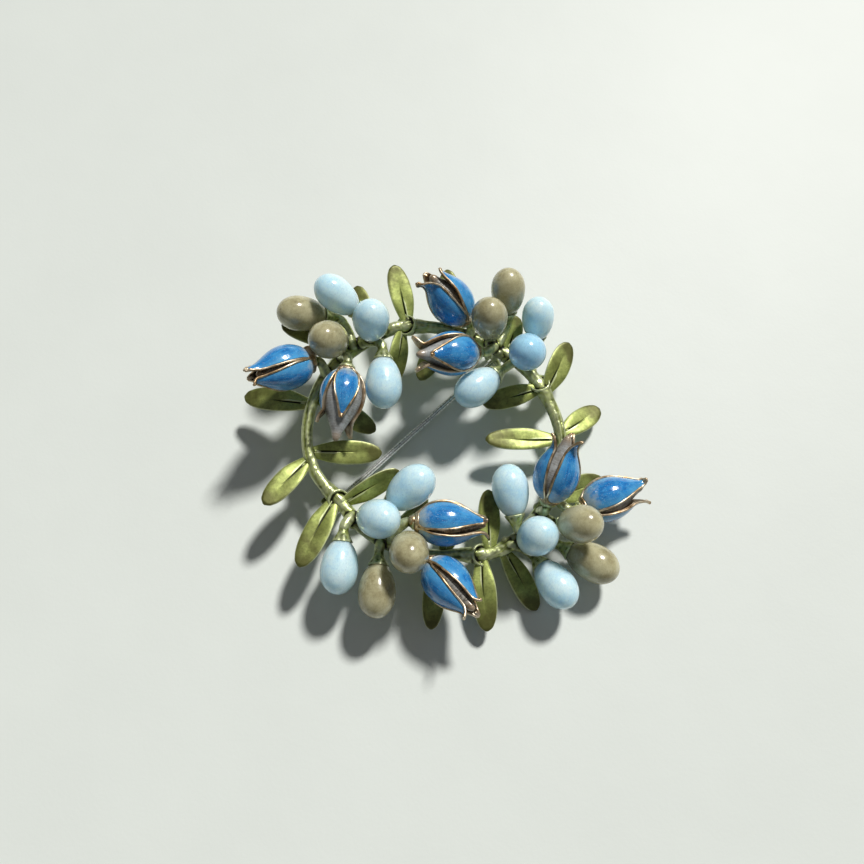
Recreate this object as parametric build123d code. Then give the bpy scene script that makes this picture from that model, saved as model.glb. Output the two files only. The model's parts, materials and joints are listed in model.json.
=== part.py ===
from build123d import *
import math
import os

# Wreath brooch, in millimetres.
# It is laid out flat first: the ring of stems lies in the XY plane, centred on the origin, face up.
# The last step tips it into the way it rests on a table: on the hinge, the catch and one leaf tip.
#
# Words used in the tables:
#   bearing  angle round the ring from +X, in degrees
#   reach    distance from the ring's centre, as a share of wreath_r
#   turn     angle of a piece's own long axis from straight outward, in degrees, counter-clockwise
#   lift     slope of that axis above the ring's plane, in degrees

# driving sizes: ring and leaves
wreath_r = 16.4
stem_d = 1.75
stem_stations = 11
collar_d = 3.2
collar_len = 2.65
collar_wall = 0.32
collar_lift = 32
leaf_len = 9.0
leaf_w = 3.25
leaf_t = 0.75
leaf_edge_t = 0.3
leaf_groove_w = 0.42
leaf_groove_depth = 0.24
leaf_hollow = 0.1
leaf_crown = 0.07

# driving sizes: beads and the cups that hold them
bead_d = 5.0
bead_len = 7.4
bead_widest = 0.58
bead_spacing = 0.3
cup_d = 2.4
cup_rim_w = 0.16
cup_flare_len = 0.5
cup_root_d = 1.15
peg_d = 0.9
bead_peg_len = 2.2
seat_gap = 0.12
glue_gap = 0.06

# driving sizes: buds
bud_len = 10.2
bud_d = 5.9
petal_t = 0.6
petal_count = 3
rim_w = 0.36
enamel_t = 0.34
enamel_sink = 0.08
enamel_gap = 0.05
knob_d = 2.4
knob_len = 0.7
knob_edge = 0.15
bud_peg_len = 1.4
stalk_d = 1.25
root_swell = 1.2

# driving sizes: pin, hinge and catch
pin_d = 0.8
pin_heading = 43.5
pin_offset = 3.4
pin_drop = 4.5
pin_span = 30.6
pin_overhang = 4.0
pin_point_len = 2.8
pin_point_d = 0.16
eye_d = 1.9
rivet_d = 0.7
rivet_head_d = 1.2
rivet_head_t = 0.25
pivot_gap = 0.05
side_gap = 0.1
ear_d = 2.2
ear_t = 0.55
ear_top_len = 2.7
slot_w = 1.0
catch_wire_d = 0.8
catch_r = 1.22
catch_wrap = 250

# how it rests: the tip about the pin's line, and the middle of its footprint from the ring's centre
rest_tip = 7.0
middle_x = 1.2
middle_y = -0.1

# The centreline of the ring, bearing by bearing. Each stem takes a stretch of it.
# bearing, reach
RING = [
    (31, 1.022), (44, 1.000), (57, 0.965), (72, 0.965), (87, 0.980), (96, 1.000), (104.5, 1.030),
    (118, 1.030), (134, 1.035), (152, 1.050), (168, 1.050), (183, 1.038), (195, 1.010), (205, 0.960),
    (213.5, 0.920), (226, 0.915), (242, 0.920), (258, 0.920), (272, 0.930), (283, 0.945), (292.5, 1.000),
    (307, 1.035), (322, 1.030), (337, 1.030), (351, 1.040), (366, 1.047), (379, 1.030), (391, 1.022),
]

# The four stems: each runs from the collar of the one before it to its own collar.
# name, first bearing, last bearing, bearing where its beads and buds branch off
SPRAYS = [
    ("north", 31, 104.5, 52),
    ("west", 104.5, 213.5, 130),
    ("south", 213.5, 292.5, 238),
    ("east", 292.5, 391, 316),
]

# Thickness of a stem along its length.
# share of its length, share of stem_d
STEM_SWELL = [(0.0, 0.96), (0.2, 1.08), (0.5, 0.92), (0.8, 0.94), (1.0, 1.1)]

# The outside of a collar, from its foot on the stem to its rim.
# share of collar_len along the stem, share of half of collar_d
COLLAR_PROFILE = [(-0.72, 0.55), (-0.08, 0.90), (0.28, 1.00)]

# Leaves, each rooted on the ring's centreline.
# bearing, turn, lift, roll about its length, droop of its tip, share of leaf_len, share of leaf_w
LEAVES = [
    (103, 1, 10, 6, 6, 0.98, 1.00),
    (106, 157, -7, -25, 4, 0.92, 0.90),
    (82, 12, 5, -8, 4, 1.00, 0.96),
    (84, 158, -3, 10, 4, 0.90, 0.96),
    (133, 25, 0, 15, 6, 1.15, 1.00),
    (124, -23, -3, -10, 4, 0.94, 0.95),
    (164, 5, -16, 4, 8, 1.15, 1.05),
    (160, 171, -2, 6, 2, 1.04, 0.96),
    (186, 174, 1, -4, 4, 1.08, 1.00),
    (189, 40, 16, 8, 6, 0.98, 1.00),
    (211, 33, 13, 10, 6, 1.15, 1.06),
    (215, 174, 8, 30, 4, 0.97, 0.92),
    (242, 159, 0, 55, 2, 0.92, 0.80),
    (271, -5, 0, -6, 4, 1.06, 0.92),
    (274, 157, -7, 5, 4, 0.84, 0.90),
    (292, -18, 3, 4, 6, 1.09, 1.00),
    (296, 155, 4, 0, 4, 0.94, 0.90),
    (302, 0, -8.8, -8, 6, 1.05, 1.00),
    (334, 44, -13, 6, 4, 1.04, 1.12),
    (2, 179, 4, 6, 4, 1.15, 0.96),
    (4, 32, -11, -6, 6, 0.88, 1.00),
    (25, 38, 9, 10, 6, 0.92, 1.02),
    (28, 168, -4, -10, 4, 0.94, 0.92),
    (52, 22, 6, 12, 2, 0.64, 0.90),
]

# A leaf's sections from root to tip.
# share of its length, share of its width, share of leaf_t, share of the groove's depth
LEAF_SECTIONS = [
    (0.00, 0.34, 1.05, 0.50),
    (0.14, 0.64, 1.00, 1.00),
    (0.36, 0.94, 1.00, 1.00),
    (0.62, 1.00, 0.95, 0.60),
    (0.84, 0.80, 0.90, 0.15),
    (0.95, 0.50, 0.85, 0.10),
    (1.00, 0.20, 0.70, 0.10),
]

# Bead seats, in steps of one bead and its spacing from the branching point of their stem.
# spray, colour, steps along the ring, steps outward, steps up, turn, lift, share of bead size,
# bearing of its twig's root from the branching point
BEADS = [
    ("north", "blue", -0.39, 0.80, 0.14, 46, 50, 0.88, -11),
    ("north", "blue", -0.42, 0.27, 0.26, -173, 72, 1.00, -12),
    ("north", "blue", -0.16, -0.67, 0.34, 165, 8, 0.96, -7),
    ("north", "taupe", 0.60, 0.76, 0.37, 46, 48, 0.93, 5),
    ("north", "taupe", 0.60, -0.03, 0.55, 71, 72, 0.96, 9),
    ("west", "blue", -0.49, 0.59, 0.64, 20, 26, 0.92, -15),
    ("west", "blue", -0.40, -0.10, 0.47, -35, 78, 0.97, -8),
    ("west", "blue", -0.26, -0.74, 0.58, 143, 2, 0.98, -3),
    ("west", "taupe", 0.11, 1.06, 0.24, 54, 22, 0.95, 1),
    ("west", "taupe", 0.30, 0.30, 0.27, 85, 66, 1.00, 2),
    ("south", "blue", -0.07, -0.81, 0.26, 160, 33, 1.03, -5),
    ("south", "blue", -0.46, -0.24, 0.26, 100, 60, 1.00, -13),
    ("south", "blue", -0.59, 0.49, 0.28, 27, 2, 0.97, -15),
    ("south", "taupe", 0.80, -0.31, 0.35, 27, 65, 1.00, 11),
    ("south", "taupe", 0.45, 0.50, 0.23, 30, 8, 0.97, 4),
    ("east", "blue", -0.06, -0.41, 0.38, 144, 9, 0.97, 6),
    ("east", "blue", -0.26, 0.21, 0.16, 74, 78, 1.00, -7),
    ("east", "blue", -0.39, 0.79, 0.12, -13, 22, 0.97, -11),
    ("east", "taupe", 0.66, 0.52, 0.45, 29, 66, 0.98, 8),
    ("east", "taupe", 0.35, 1.05, 0.14, 14, 18, 1.00, 2),
]

# Bud seats, in the same steps; spin turns a bud about its own axis.
# spray, steps along the ring, steps outward, steps up, turn, lift, spin, bearing of its stalk's root
BUDS = [
    ("north", 1.26, -0.09, 0.42, 89, 36, 60, 20),
    ("north", 0.53, -0.65, 0.64, 139, 22, -10, 6),
    ("west", 1.21, 0.24, 0.60, 77, 30, 50, 19),
    ("west", 0.64, -0.44, 0.68, 133, 2, 0, 8),
    ("south", 0.65, -0.73, 0.57, 120, 5, -20, 8),
    ("south", 1.42, -0.12, 0.33, 74, 28, 60, 23),
    ("east", 0.74, -0.10, 0.57, 121, 30, 35, 10),
    ("east", 1.22, 0.57, 0.46, 64, 3, -20, 20),
]

# The outline of a bud: the outside of its petals, and the core that shows between them.
# share of bud_len, share of half of bud_d
PETAL_PROFILE = [
    (0.03, 0.40), (0.12, 0.72), (0.26, 0.95), (0.38, 1.00), (0.52, 0.93),
    (0.66, 0.72), (0.77, 0.52), (0.84, 0.46), (0.89, 0.54), (0.93, 0.70),
]
CORE_PROFILE = [
    (0.03, 0.38), (0.12, 0.62), (0.26, 0.81), (0.38, 0.86), (0.52, 0.79),
    (0.66, 0.58), (0.78, 0.40), (0.90, 0.22), (1.00, 0.06),
]

# Half the width of one petal, looked at straight on.
# share of bud_len, share of half of bud_d
PETAL_OUTLINE = [
    (0.03, 0.30), (0.10, 0.58), (0.24, 0.79), (0.38, 0.83), (0.52, 0.72),
    (0.66, 0.47), (0.77, 0.26), (0.86, 0.16), (0.94, 0.10),
]

bead_step = bead_d + bead_spacing
bud_step = (bead_d + bud_d) / 2


def between(table, at):
    """The second column of a table at a value of its first, in a straight line from row to row."""
    for (low, before), (high, after) in zip(table, table[1:]):
        if at <= high:
            return before + (after - before) * (at - low) / (high - low)
    return table[-1][1]


def ring_point(bearing, height=0.0):
    """A point on the centreline of the stems."""
    first = RING[0][0]
    reach = between(RING, (bearing - first) % 360 + first)
    angle = math.radians(bearing)
    return Vector(wreath_r * reach * math.cos(angle), wreath_r * reach * math.sin(angle), height)


def aimed(point, heading, lift, roll=0.0):
    """A place at point whose X axis points along heading and lift."""
    return Pos(point.X, point.Y, point.Z) * Rot(0, 0, heading) * Rot(0, -lift, 0) * Rot(roll, 0, 0)


def seat(hub, step, along, outward, up, turn, lift, spin=0.0):
    """The place of a bead or bud, counted in steps from the branching point of its stem."""
    angle = math.radians(hub)
    out = Vector(math.cos(angle), math.sin(angle), 0)
    side = Vector(-math.sin(angle), math.cos(angle), 0)
    point = ring_point(hub) + out * (outward * step) + side * (along * step) + Vector(0, 0, up * step)
    return aimed(point, hub + turn, lift, spin)


def turned(points):
    """A solid of revolution about X from the corners of its half profile, x and radius."""
    return revolve(make_face(Polyline(*points, close=True)), Axis.X)


def tapered_rod(start, end, start_d, end_d):
    """A straight rod between two points, thicker at one end."""
    along = end - start
    profile = Polyline((0, 0), (start_d / 2, 0), (end_d / 2, along.length), (0, along.length), close=True)
    rod = revolve(make_face(Plane.XZ * profile), Axis.Z)
    return Plane(origin=start, z_dir=along) * rod


def ball(point, diameter):
    return Pos(point.X, point.Y, point.Z) * Sphere(diameter / 2)


def stem(first, last):
    """One curved stem, lofted through round sections, with a rounded start."""
    inner = [bearing for bearing, reach in RING if first < bearing < last]
    path = Spline(*[ring_point(bearing) for bearing in [first] + inner + [last]])
    sections = []
    for i in range(stem_stations):
        share = i / (stem_stations - 1)
        radius = stem_d * between(STEM_SWELL, share) / 2
        sections.append(Plane(origin=path @ share, x_dir=(0, 0, 1), z_dir=path % share) * Circle(radius))
    return loft(sections) + ball(path @ 0, stem_d), path


def collar(path):
    """The open cup at the end of a stem, whose rim stands round the start of the next one."""
    outside = [(x * collar_len, r * collar_d / 2) for x, r in COLLAR_PROFILE]
    foot, waist, rim = outside
    floor = waist[0] - collar_wall
    cup = turned([
        (foot[0], 0), foot, waist, rim, (rim[0], rim[1] - collar_wall),
        (waist[0], waist[1] - collar_wall), (floor, collar_wall), (floor, 0),
    ])
    end = path @ 1
    along = path % 1
    return aimed(end, math.degrees(math.atan2(along.Y, along.X)), collar_lift) * cup


def leaf(length, width, droop):
    """One leaf along X from its root: blunt edges, and a groove that fades towards the tip."""
    bend = math.radians(droop) / length
    sections = []
    for share, wide, thick, grooved in LEAF_SECTIONS:
        along = share * length
        half = width * wide / 2
        top = leaf_t * thick / 2
        edge = min(leaf_edge_t / 2, top * 0.7)
        dish = leaf_hollow * half
        lip = min(leaf_groove_w / 2, half * 0.3)
        floor = top - leaf_groove_depth * grooved
        left_low = (-half, dish - edge)
        left_high = (-half, dish + edge)
        right_high = (half, dish + edge)
        right_low = (half, dish - edge)
        swell = (dish + edge + top) / 2 + leaf_crown * half
        outline = [
            Line(left_low, left_high),
            ThreePointArc(left_high, (-(half + lip) / 2, swell), (-lip, top)),
            Line((-lip, top), (0, floor)),
            Line((0, floor), (lip, top)),
            ThreePointArc((lip, top), ((half + lip) / 2, swell), right_high),
            Line(right_high, right_low),
            ThreePointArc(right_low, (0, -top), left_low),
        ]
        angle = bend * along
        place = Plane(
            origin=(math.sin(angle) / bend, 0, -(1 - math.cos(angle)) / bend),
            x_dir=(0, 1, 0),
            z_dir=(math.cos(angle), 0, -math.sin(angle)),
        )
        sections.append(place * make_face(outline))
    return loft(sections)


def placed_leaf(bearing, turn, lift, roll, droop, length_share, width_share):
    blade = leaf(leaf_len * length_share, leaf_w * width_share, droop)
    return aimed(ring_point(bearing), bearing + turn, lift, roll) * blade


def bead(size):
    """An egg along X, narrow end at the origin, drilled for its peg."""
    length = bead_len * size
    widest = length * bead_widest
    radius = bead_d * size / 2
    profile = [
        EllipticalCenterArc((widest, 0), widest, radius, 90, arc_size=90),
        EllipticalCenterArc((widest, 0), length - widest, radius, 0, arc_size=90),
        Line((length, 0), (0, 0)),
    ]
    egg = revolve(make_face(profile), Axis.X)
    depth = bead_peg_len + glue_gap
    drill = turned([(-1, 0), (-1, peg_d / 2 + glue_gap), (depth, peg_d / 2 + glue_gap), (depth, 0)])
    return egg - drill


def hollow_x(radius):
    """How far along a bead the cup's hollow lies at a radius: the bead's narrow end, seat_gap clear."""
    widest = bead_len * bead_widest
    return widest - (widest + seat_gap) * math.sqrt(1 - (radius / (bead_d / 2 + seat_gap)) ** 2)


def bead_cup():
    """The cup and peg under a bead: its hollow follows the bead's narrow end at seat_gap."""
    lip = cup_d / 2 - cup_rim_w
    rim = hollow_x(lip)
    middle_r = (lip + peg_d / 2) / 2
    middle = hollow_x(middle_r)
    foot = hollow_x(peg_d / 2)
    root = -cup_d / 2
    profile = [
        Line((root, 0), (root, cup_root_d / 2)),
        Line((root, cup_root_d / 2), (rim - cup_flare_len, cup_d / 2 - cup_rim_w)),
        Line((rim - cup_flare_len, cup_d / 2 - cup_rim_w), (rim, cup_d / 2)),
        Line((rim, cup_d / 2), (rim, lip)),
        ThreePointArc((rim, lip), (middle, middle_r), (foot, peg_d / 2)),
        Line((foot, peg_d / 2), (bead_peg_len, peg_d / 2)),
        Line((bead_peg_len, peg_d / 2), (bead_peg_len, 0)),
        Line((bead_peg_len, 0), (root, 0)),
    ]
    return revolve(make_face(profile), Axis.X)


def bud_foot():
    """The flared end of a stalk, with the peg that a bud is fixed on."""
    root = -knob_d / 2
    return turned([
        (root, 0), (root, stalk_d / 2), (-seat_gap - cup_flare_len, knob_d / 2 - cup_rim_w),
        (-seat_gap, knob_d / 2),
        (-seat_gap, peg_d / 2), (bud_peg_len, peg_d / 2), (bud_peg_len, 0),
    ])


def round_shell(inward, thickness):
    """A shell that follows the outside of the petals, set inward from it by a distance."""
    outside = [(a * bud_len, r * bud_d / 2 - inward) for a, r in PETAL_PROFILE]
    inside = [(x, r - thickness) for x, r in outside]
    edges = [
        Spline(*outside),
        Line(outside[-1], inside[-1]),
        Spline(*inside),
        Line(inside[0], outside[0]),
    ]
    return revolve(make_face(edges), Axis.X)


def petal_prism(inset):
    """A prism, along Z, with the outline of one petal drawn in by inset on every side."""
    upper = []
    for share, half in PETAL_OUTLINE:
        width = half * bud_d / 2 - inset
        if width > 0.04:
            upper.append((share * bud_len, width))
    upper[0] = (upper[0][0] + inset, upper[0][1])
    upper[-1] = (upper[-1][0] - inset, upper[-1][1])
    lower = [(x, -y) for x, y in upper]
    edges = [
        Spline(*upper),
        Line(upper[-1], lower[-1]),
        Spline(*lower),
        Line(lower[0], upper[0]),
    ]
    return extrude(make_face(edges), bud_d)


def bud():
    """A bud along X: its metal shell, and the enamel that lies in its petals."""
    petal = round_shell(0, petal_t) & petal_prism(0)
    pocket_depth = enamel_sink + enamel_t + enamel_gap
    pocket = round_shell(-petal_t, petal_t + pocket_depth) & petal_prism(rim_w)
    field = round_shell(enamel_sink, enamel_t) & petal_prism(rim_w + enamel_gap)
    core_line = [(a * bud_len, r * bud_d / 2) for a, r in CORE_PROFILE]
    core_face = make_face([
        Spline(*core_line),
        Line(core_line[-1], (bud_len, 0)),
        Line((bud_len, 0), (core_line[0][0], 0)),
        Line((core_line[0][0], 0), core_line[0]),
    ])
    core = revolve(core_face, Axis.X)
    knob = turned([
        (0, 0), (0, knob_d / 2 - knob_edge), (knob_edge, knob_d / 2), (knob_len - knob_edge, knob_d / 2),
        (knob_len, knob_d / 2 - knob_edge), (knob_len, 0),
    ])
    turns = [Rot(360 / petal_count * i, 0, 0) for i in range(petal_count)]
    metal = core + knob + [place * petal for place in turns] - [place * pocket for place in turns]
    fields = [place * field for place in turns]
    depth = bud_peg_len + glue_gap
    metal = metal - turned([(-1, 0), (-1, peg_d / 2 + glue_gap), (depth, peg_d / 2 + glue_gap), (depth, 0)])
    return metal, fields


def twig(hub, place, root_d, foot_len, foot_d, lean):
    """The rod from a stem to the foot of a cup or stalk, with a rounded elbow."""
    foot = (place * Pos(-foot_len, 0, 0)).position
    root = ring_point(hub + lean)
    return [tapered_rod(root, foot, root_d, foot_d), ball(foot, foot_d * 1.06)]


def spray_parts(name, first, last, hub):
    """One stem and everything that is cast or soldered on it."""
    body, path = stem(first, last)
    parts = [body, collar(path)]
    parts += [placed_leaf(*row) for row in LEAVES if (row[0] - first) % 360 < last - first]
    cup = bead_cup()
    for spray, colour, along, outward, up, turn, lift, size, lean in BEADS:
        if spray == name:
            place = seat(hub, bead_step, along, outward, up, turn, lift)
            parts.append(place * cup)
            parts += twig(hub, place, cup_root_d * root_swell, cup_d / 2, cup_root_d, lean)
    foot = bud_foot()
    for spray, along, outward, up, turn, lift, spin, lean in BUDS:
        if spray == name:
            place = seat(hub, bud_step, along, outward, up, turn, lift)
            parts.append(place * foot)
            parts += twig(hub, place, stalk_d * root_swell, knob_d / 2, stalk_d, lean)
    return parts


def pin_place():
    """The pin's own place: X along the pin from its middle, Y across it, Z up, on the pin's axis."""
    return Rot(0, 0, pin_heading) * Pos(0, pin_offset, -pin_drop)


def hinge_ears():
    """The forked block soldered under a stem, drilled for the rivet."""
    at = -pin_span / 2
    top = pin_drop - stem_d / 4
    half_top = ear_top_len / 2
    side = ear_d / 2
    profile = make_face(Polyline(
        (at - side, 0), (at - half_top, top), (at + half_top, top), (at + side, 0), close=True,
    ))
    width = slot_w + 2 * ear_t
    block = Pos(0, width / 2, 0) * extrude(Plane.XZ * profile, width)
    across = Pos(at, 0, 0) * Rot(90, 0, 0)
    block = block + across * Cylinder(side, width)
    slot_top = eye_d / 2 + 3 * side_gap
    slot_low = ear_d
    slot = Pos(at, 0, (slot_top - slot_low) / 2) * Box(4 * side, slot_w, slot_top + slot_low)
    return block - slot - across * Cylinder(rivet_d / 2 + pivot_gap, 2 * width)


def catch():
    """The hook that the pin lies in, open underneath, on a post soldered under a stem."""
    at = pin_span / 2
    ring = Plane(origin=(at, 0, 0), x_dir=(0, 1, 0), z_dir=(1, 0, 0))
    path = ring * CenterArc((0, 0), catch_r, 90 - catch_wrap / 2, catch_wrap)
    hook = sweep(Plane(origin=path @ 0, z_dir=path % 0) * Circle(catch_wire_d / 2), path)
    post = tapered_rod(Vector(at, 0, catch_r), Vector(at, 0, pin_drop), catch_wire_d * root_swell, stem_d)
    return hook + ball(path @ 0, catch_wire_d) + ball(path @ 1, catch_wire_d) + post


def rivet():
    """The hinge's rivet, headed outside both ears."""
    reach = slot_w / 2 + ear_t + side_gap / 2
    rod = Cylinder(rivet_d / 2, 2 * reach + rivet_head_t)
    head = Cylinder(rivet_head_d / 2, rivet_head_t)
    middle = reach + rivet_head_t / 2
    whole = rod + Pos(0, 0, middle) * head + Pos(0, 0, -middle) * head
    return Pos(-pin_span / 2, 0, 0) * Rot(90, 0, 0) * whole


def pin_wire():
    """The pin stem: an eye round the rivet, a straight wire and a sharpened point."""
    at = -pin_span / 2
    across = Pos(at, 0, 0) * Rot(90, 0, 0)
    eye = across * Cylinder(eye_d / 2, slot_w - 2 * side_gap)
    start = Vector(at + rivet_d, 0, 0)
    shoulder = Vector(pin_span / 2 + pin_overhang - pin_point_len, 0, 0)
    end = Vector(pin_span / 2 + pin_overhang, 0, 0)
    wire = tapered_rod(start, shoulder, pin_d, pin_d) + tapered_rod(shoulder, end, pin_d, pin_point_d)
    return eye + wire - across * Cylinder(rivet_d / 2 + pivot_gap, slot_w)


def resting():
    """The move from the flat layout to the way it lies: the lower edge of the ears touches the table."""
    slope = math.radians(rest_tip)
    edge = pin_offset - slot_w / 2 - ear_t
    height = (pin_drop + ear_d / 2) * math.cos(slope) - edge * math.sin(slope)
    tip = Rot(0, 0, pin_heading) * Rot(rest_tip, 0, 0) * Rot(0, 0, -pin_heading)
    return Pos(-middle_x, -middle_y, height) * tip


def loose_pieces():
    """Every piece but the frame, by name, in the flat layout."""
    pieces = {}
    hubs = {name: hub for name, first, last, hub in SPRAYS}
    counts = {"blue": 0, "taupe": 0}
    for name, colour, along, outward, up, turn, lift, size, lean in BEADS:
        counts[colour] += 1
        place = seat(hubs[name], bead_step, along, outward, up, turn, lift)
        pieces[f"bead_{colour}_{counts[colour]}"] = place * bead(size)
    metal, fields = bud()
    for number, (name, along, outward, up, turn, lift, spin, lean) in enumerate(BUDS, start=1):
        place = seat(hubs[name], bud_step, along, outward, up, turn, lift, spin)
        pieces[f"bud_shell_{number}"] = place * metal
        pieces[f"bud_enamel_{number}"] = Compound([place * field for field in fields])
    pieces["hinge_rivet"] = pin_place() * rivet()
    pieces["pin_stem"] = pin_place() * pin_wire()
    return pieces


def joined(parts):
    """Pieces fused one after another."""
    whole = parts[0]
    for piece in parts[1:]:
        whole = whole + piece
    return whole


def wreath_frame():
    """The frame, fused into one solid: each spray first, then the four of them with the pin's fittings."""
    sprays = [joined(spray_parts(*row)) for row in SPRAYS]
    return joined(sprays + [pin_place() * hinge_ears(), pin_place() * catch()])


def main():
    os.makedirs("parts", exist_ok=True)
    pieces = loose_pieces()
    pieces["wreath_frame"] = wreath_frame()
    for name, piece in pieces.items():
        export_step(resting() * piece, f"parts/{name}.step")


if __name__ == "__main__":
    main()
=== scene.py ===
"""Wreath brooch: cast sprays with leaves, glass beads and enamelled buds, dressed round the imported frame.

Pieces are shaped in millimetres in a flat layout: the ring of stems lies in the XY plane, face up, centred
on the origin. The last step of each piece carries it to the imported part's place, read from the pin's joint.
"""

import json
import math

import bmesh
import bpy
import numpy as np
from mathutils import Matrix, Vector, kdtree


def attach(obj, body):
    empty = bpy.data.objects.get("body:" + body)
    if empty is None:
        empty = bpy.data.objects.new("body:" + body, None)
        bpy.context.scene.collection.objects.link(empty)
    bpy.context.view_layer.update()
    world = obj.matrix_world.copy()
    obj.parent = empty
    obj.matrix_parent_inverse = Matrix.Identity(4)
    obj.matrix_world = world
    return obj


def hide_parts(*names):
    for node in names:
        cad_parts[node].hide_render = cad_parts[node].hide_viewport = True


bl_info = {
    "name": "Wreath Brooch",
    "version": (1, 0, 0),
    "blender": (4, 5, 0),
    "location": "3D View > Sidebar > Brooch",
    "description": "Builds the cast sprays, beads, enamelled buds and pin of a wreath brooch",
    "category": "Add Mesh",
}

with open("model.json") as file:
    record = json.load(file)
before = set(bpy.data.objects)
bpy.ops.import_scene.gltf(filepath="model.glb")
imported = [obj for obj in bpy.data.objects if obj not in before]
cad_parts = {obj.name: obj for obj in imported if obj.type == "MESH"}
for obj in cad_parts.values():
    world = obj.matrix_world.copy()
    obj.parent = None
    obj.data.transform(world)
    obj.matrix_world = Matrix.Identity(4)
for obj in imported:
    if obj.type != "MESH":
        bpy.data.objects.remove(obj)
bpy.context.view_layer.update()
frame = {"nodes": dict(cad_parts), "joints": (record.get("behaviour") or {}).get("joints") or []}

MM = 0.001
BODY = "brooch"

# The centreline of the ring: bearing in degrees, reach as a share of the ring's radius.
RING = [
    (31, 1.022), (44, 1.000), (57, 0.965), (72, 0.965), (87, 0.980), (96, 1.000), (104.5, 1.030),
    (118, 1.030), (134, 1.035), (152, 1.050), (168, 1.050), (183, 1.038), (195, 1.010), (205, 0.960),
    (213.5, 0.920), (226, 0.915), (242, 0.920), (258, 0.920), (272, 0.930), (283, 0.945), (292.5, 1.000),
    (307, 1.035), (322, 1.030), (337, 1.030), (351, 1.040), (366, 1.047), (379, 1.030), (391, 1.022),
]

# name, first bearing, last bearing, bearing where beads and buds branch off
SPRAYS = [
    ("north", 31, 104.5, 52),
    ("west", 104.5, 213.5, 130),
    ("south", 213.5, 292.5, 238),
    ("east", 292.5, 391, 316),
]
HUBS = {name: hub for name, _, _, hub in SPRAYS}

# share of a stem's length, share of its radius
STEM_SWELL = [(0.0, 0.96), (0.2, 1.08), (0.5, 0.92), (0.8, 0.94), (1.0, 1.1)]

# bearing, turn, lift, roll, droop of the tip, share of leaf length, share of leaf width
LEAVES = [
    (103, 1, 10, 6, 6, 0.98, 1.00),
    (106, 157, -7, -25, 4, 0.92, 0.90),
    (82, 12, 5, -8, 4, 1.00, 0.96),
    (84, 158, -3, 10, 4, 0.90, 0.96),
    (133, 25, 0, 15, 6, 1.15, 1.00),
    (124, -23, -3, -10, 4, 0.94, 0.95),
    (164, 5, -16, 4, 8, 1.15, 1.05),
    (160, 171, -2, 6, 2, 1.04, 0.96),
    (186, 174, 2, 6, 4, 1.08, 1.00),
    (189, 40, 16, 8, 6, 0.98, 1.00),
    (211, 33, 13, 10, 6, 1.15, 1.06),
    (215, 174, 8, 30, 4, 0.97, 0.92),
    (242, 159, 0, 55, 2, 0.92, 0.80),
    (271, -5, 0, -6, 4, 1.06, 0.92),
    (274, 157, -7, 5, 4, 0.84, 0.90),
    (292, -18, 3, 4, 6, 1.09, 1.00),
    (296, 155, 4, 0, 4, 0.94, 0.90),
    (302, 0, -8.8, -8, 6, 1.05, 1.00),
    (334, 44, -13, 6, 4, 1.04, 1.12),
    (2, 179, 4, 6, 4, 1.15, 0.96),
    (4, 32, -11, -6, 6, 0.88, 1.00),
    (25, 38, 7, 14, 12, 0.92, 1.02),
    (28, 168, -4, -10, 4, 0.94, 0.92),
    (52, 22, 6, 12, 2, 0.64, 0.90),
]

# share of a leaf's length, share of its half width
LEAF_OUTLINE = [
    (0.00, 0.34), (0.14, 0.62), (0.36, 0.93), (0.60, 1.00),
    (0.78, 0.89), (0.90, 0.66), (0.97, 0.38), (1.00, 0.10),
]

# spray, colour, steps along the ring, outward and up from the branching point, turn, lift, and how many
# degrees its twig's root lies from that point
BEADS = [
    ("north", "blue", -0.39, 0.80, 0.14, 46, 50, -11),
    ("north", "blue", -0.42, 0.27, 0.26, -173, 72, -12),
    ("north", "blue", -0.16, -0.67, 0.34, 165, 8, -7),
    ("north", "taupe", 0.60, 0.76, 0.37, 46, 48, 5),
    ("north", "taupe", 0.60, -0.03, 0.55, 71, 72, 9),
    ("west", "blue", -0.49, 0.59, 0.64, 20, 26, -15),
    ("west", "blue", -0.40, -0.10, 0.47, -35, 78, -8),
    ("west", "blue", -0.26, -0.74, 0.58, 143, 2, -3),
    ("west", "taupe", 0.11, 1.06, 0.24, 54, 22, 1),
    ("west", "taupe", 0.30, 0.30, 0.27, 85, 66, 2),
    ("south", "blue", -0.07, -0.81, 0.26, 160, 33, -5),
    ("south", "blue", -0.46, -0.24, 0.26, 100, 60, -13),
    ("south", "blue", -0.59, 0.49, 0.28, 27, 2, -15),
    ("south", "taupe", 0.80, -0.31, 0.35, 27, 65, 11),
    ("south", "taupe", 0.45, 0.50, 0.23, 30, 8, 4),
    ("east", "blue", -0.06, -0.41, 0.38, 144, 9, 6),
    ("east", "blue", -0.26, 0.21, 0.16, 74, 78, -7),
    ("east", "blue", -0.39, 0.79, 0.12, -13, 22, -11),
    ("east", "taupe", 0.66, 0.52, 0.45, 29, 66, 8),
    ("east", "taupe", 0.35, 1.05, 0.14, 14, 18, 2),
]

# spray, steps along the ring, outward and up, turn, lift, spin about its own axis, and how many degrees its
# stalk's root lies from the branching point
BUDS = [
    ("north", 1.26, -0.09, 0.42, 89, 36, 60, 20),
    ("north", 0.53, -0.65, 0.64, 139, 22, -10, 6),
    ("west", 1.21, 0.24, 0.60, 77, 30, 50, 19),
    ("west", 0.64, -0.44, 0.68, 133, 2, 0, 8),
    ("south", 0.65, -0.73, 0.57, 120, 5, -20, 8),
    ("south", 1.42, -0.12, 0.33, 74, 28, 60, 23),
    ("east", 0.74, -0.10, 0.57, 121, 30, 35, 10),
    ("east", 1.22, 0.57, 0.46, 64, 3, -20, 20),
]

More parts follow.
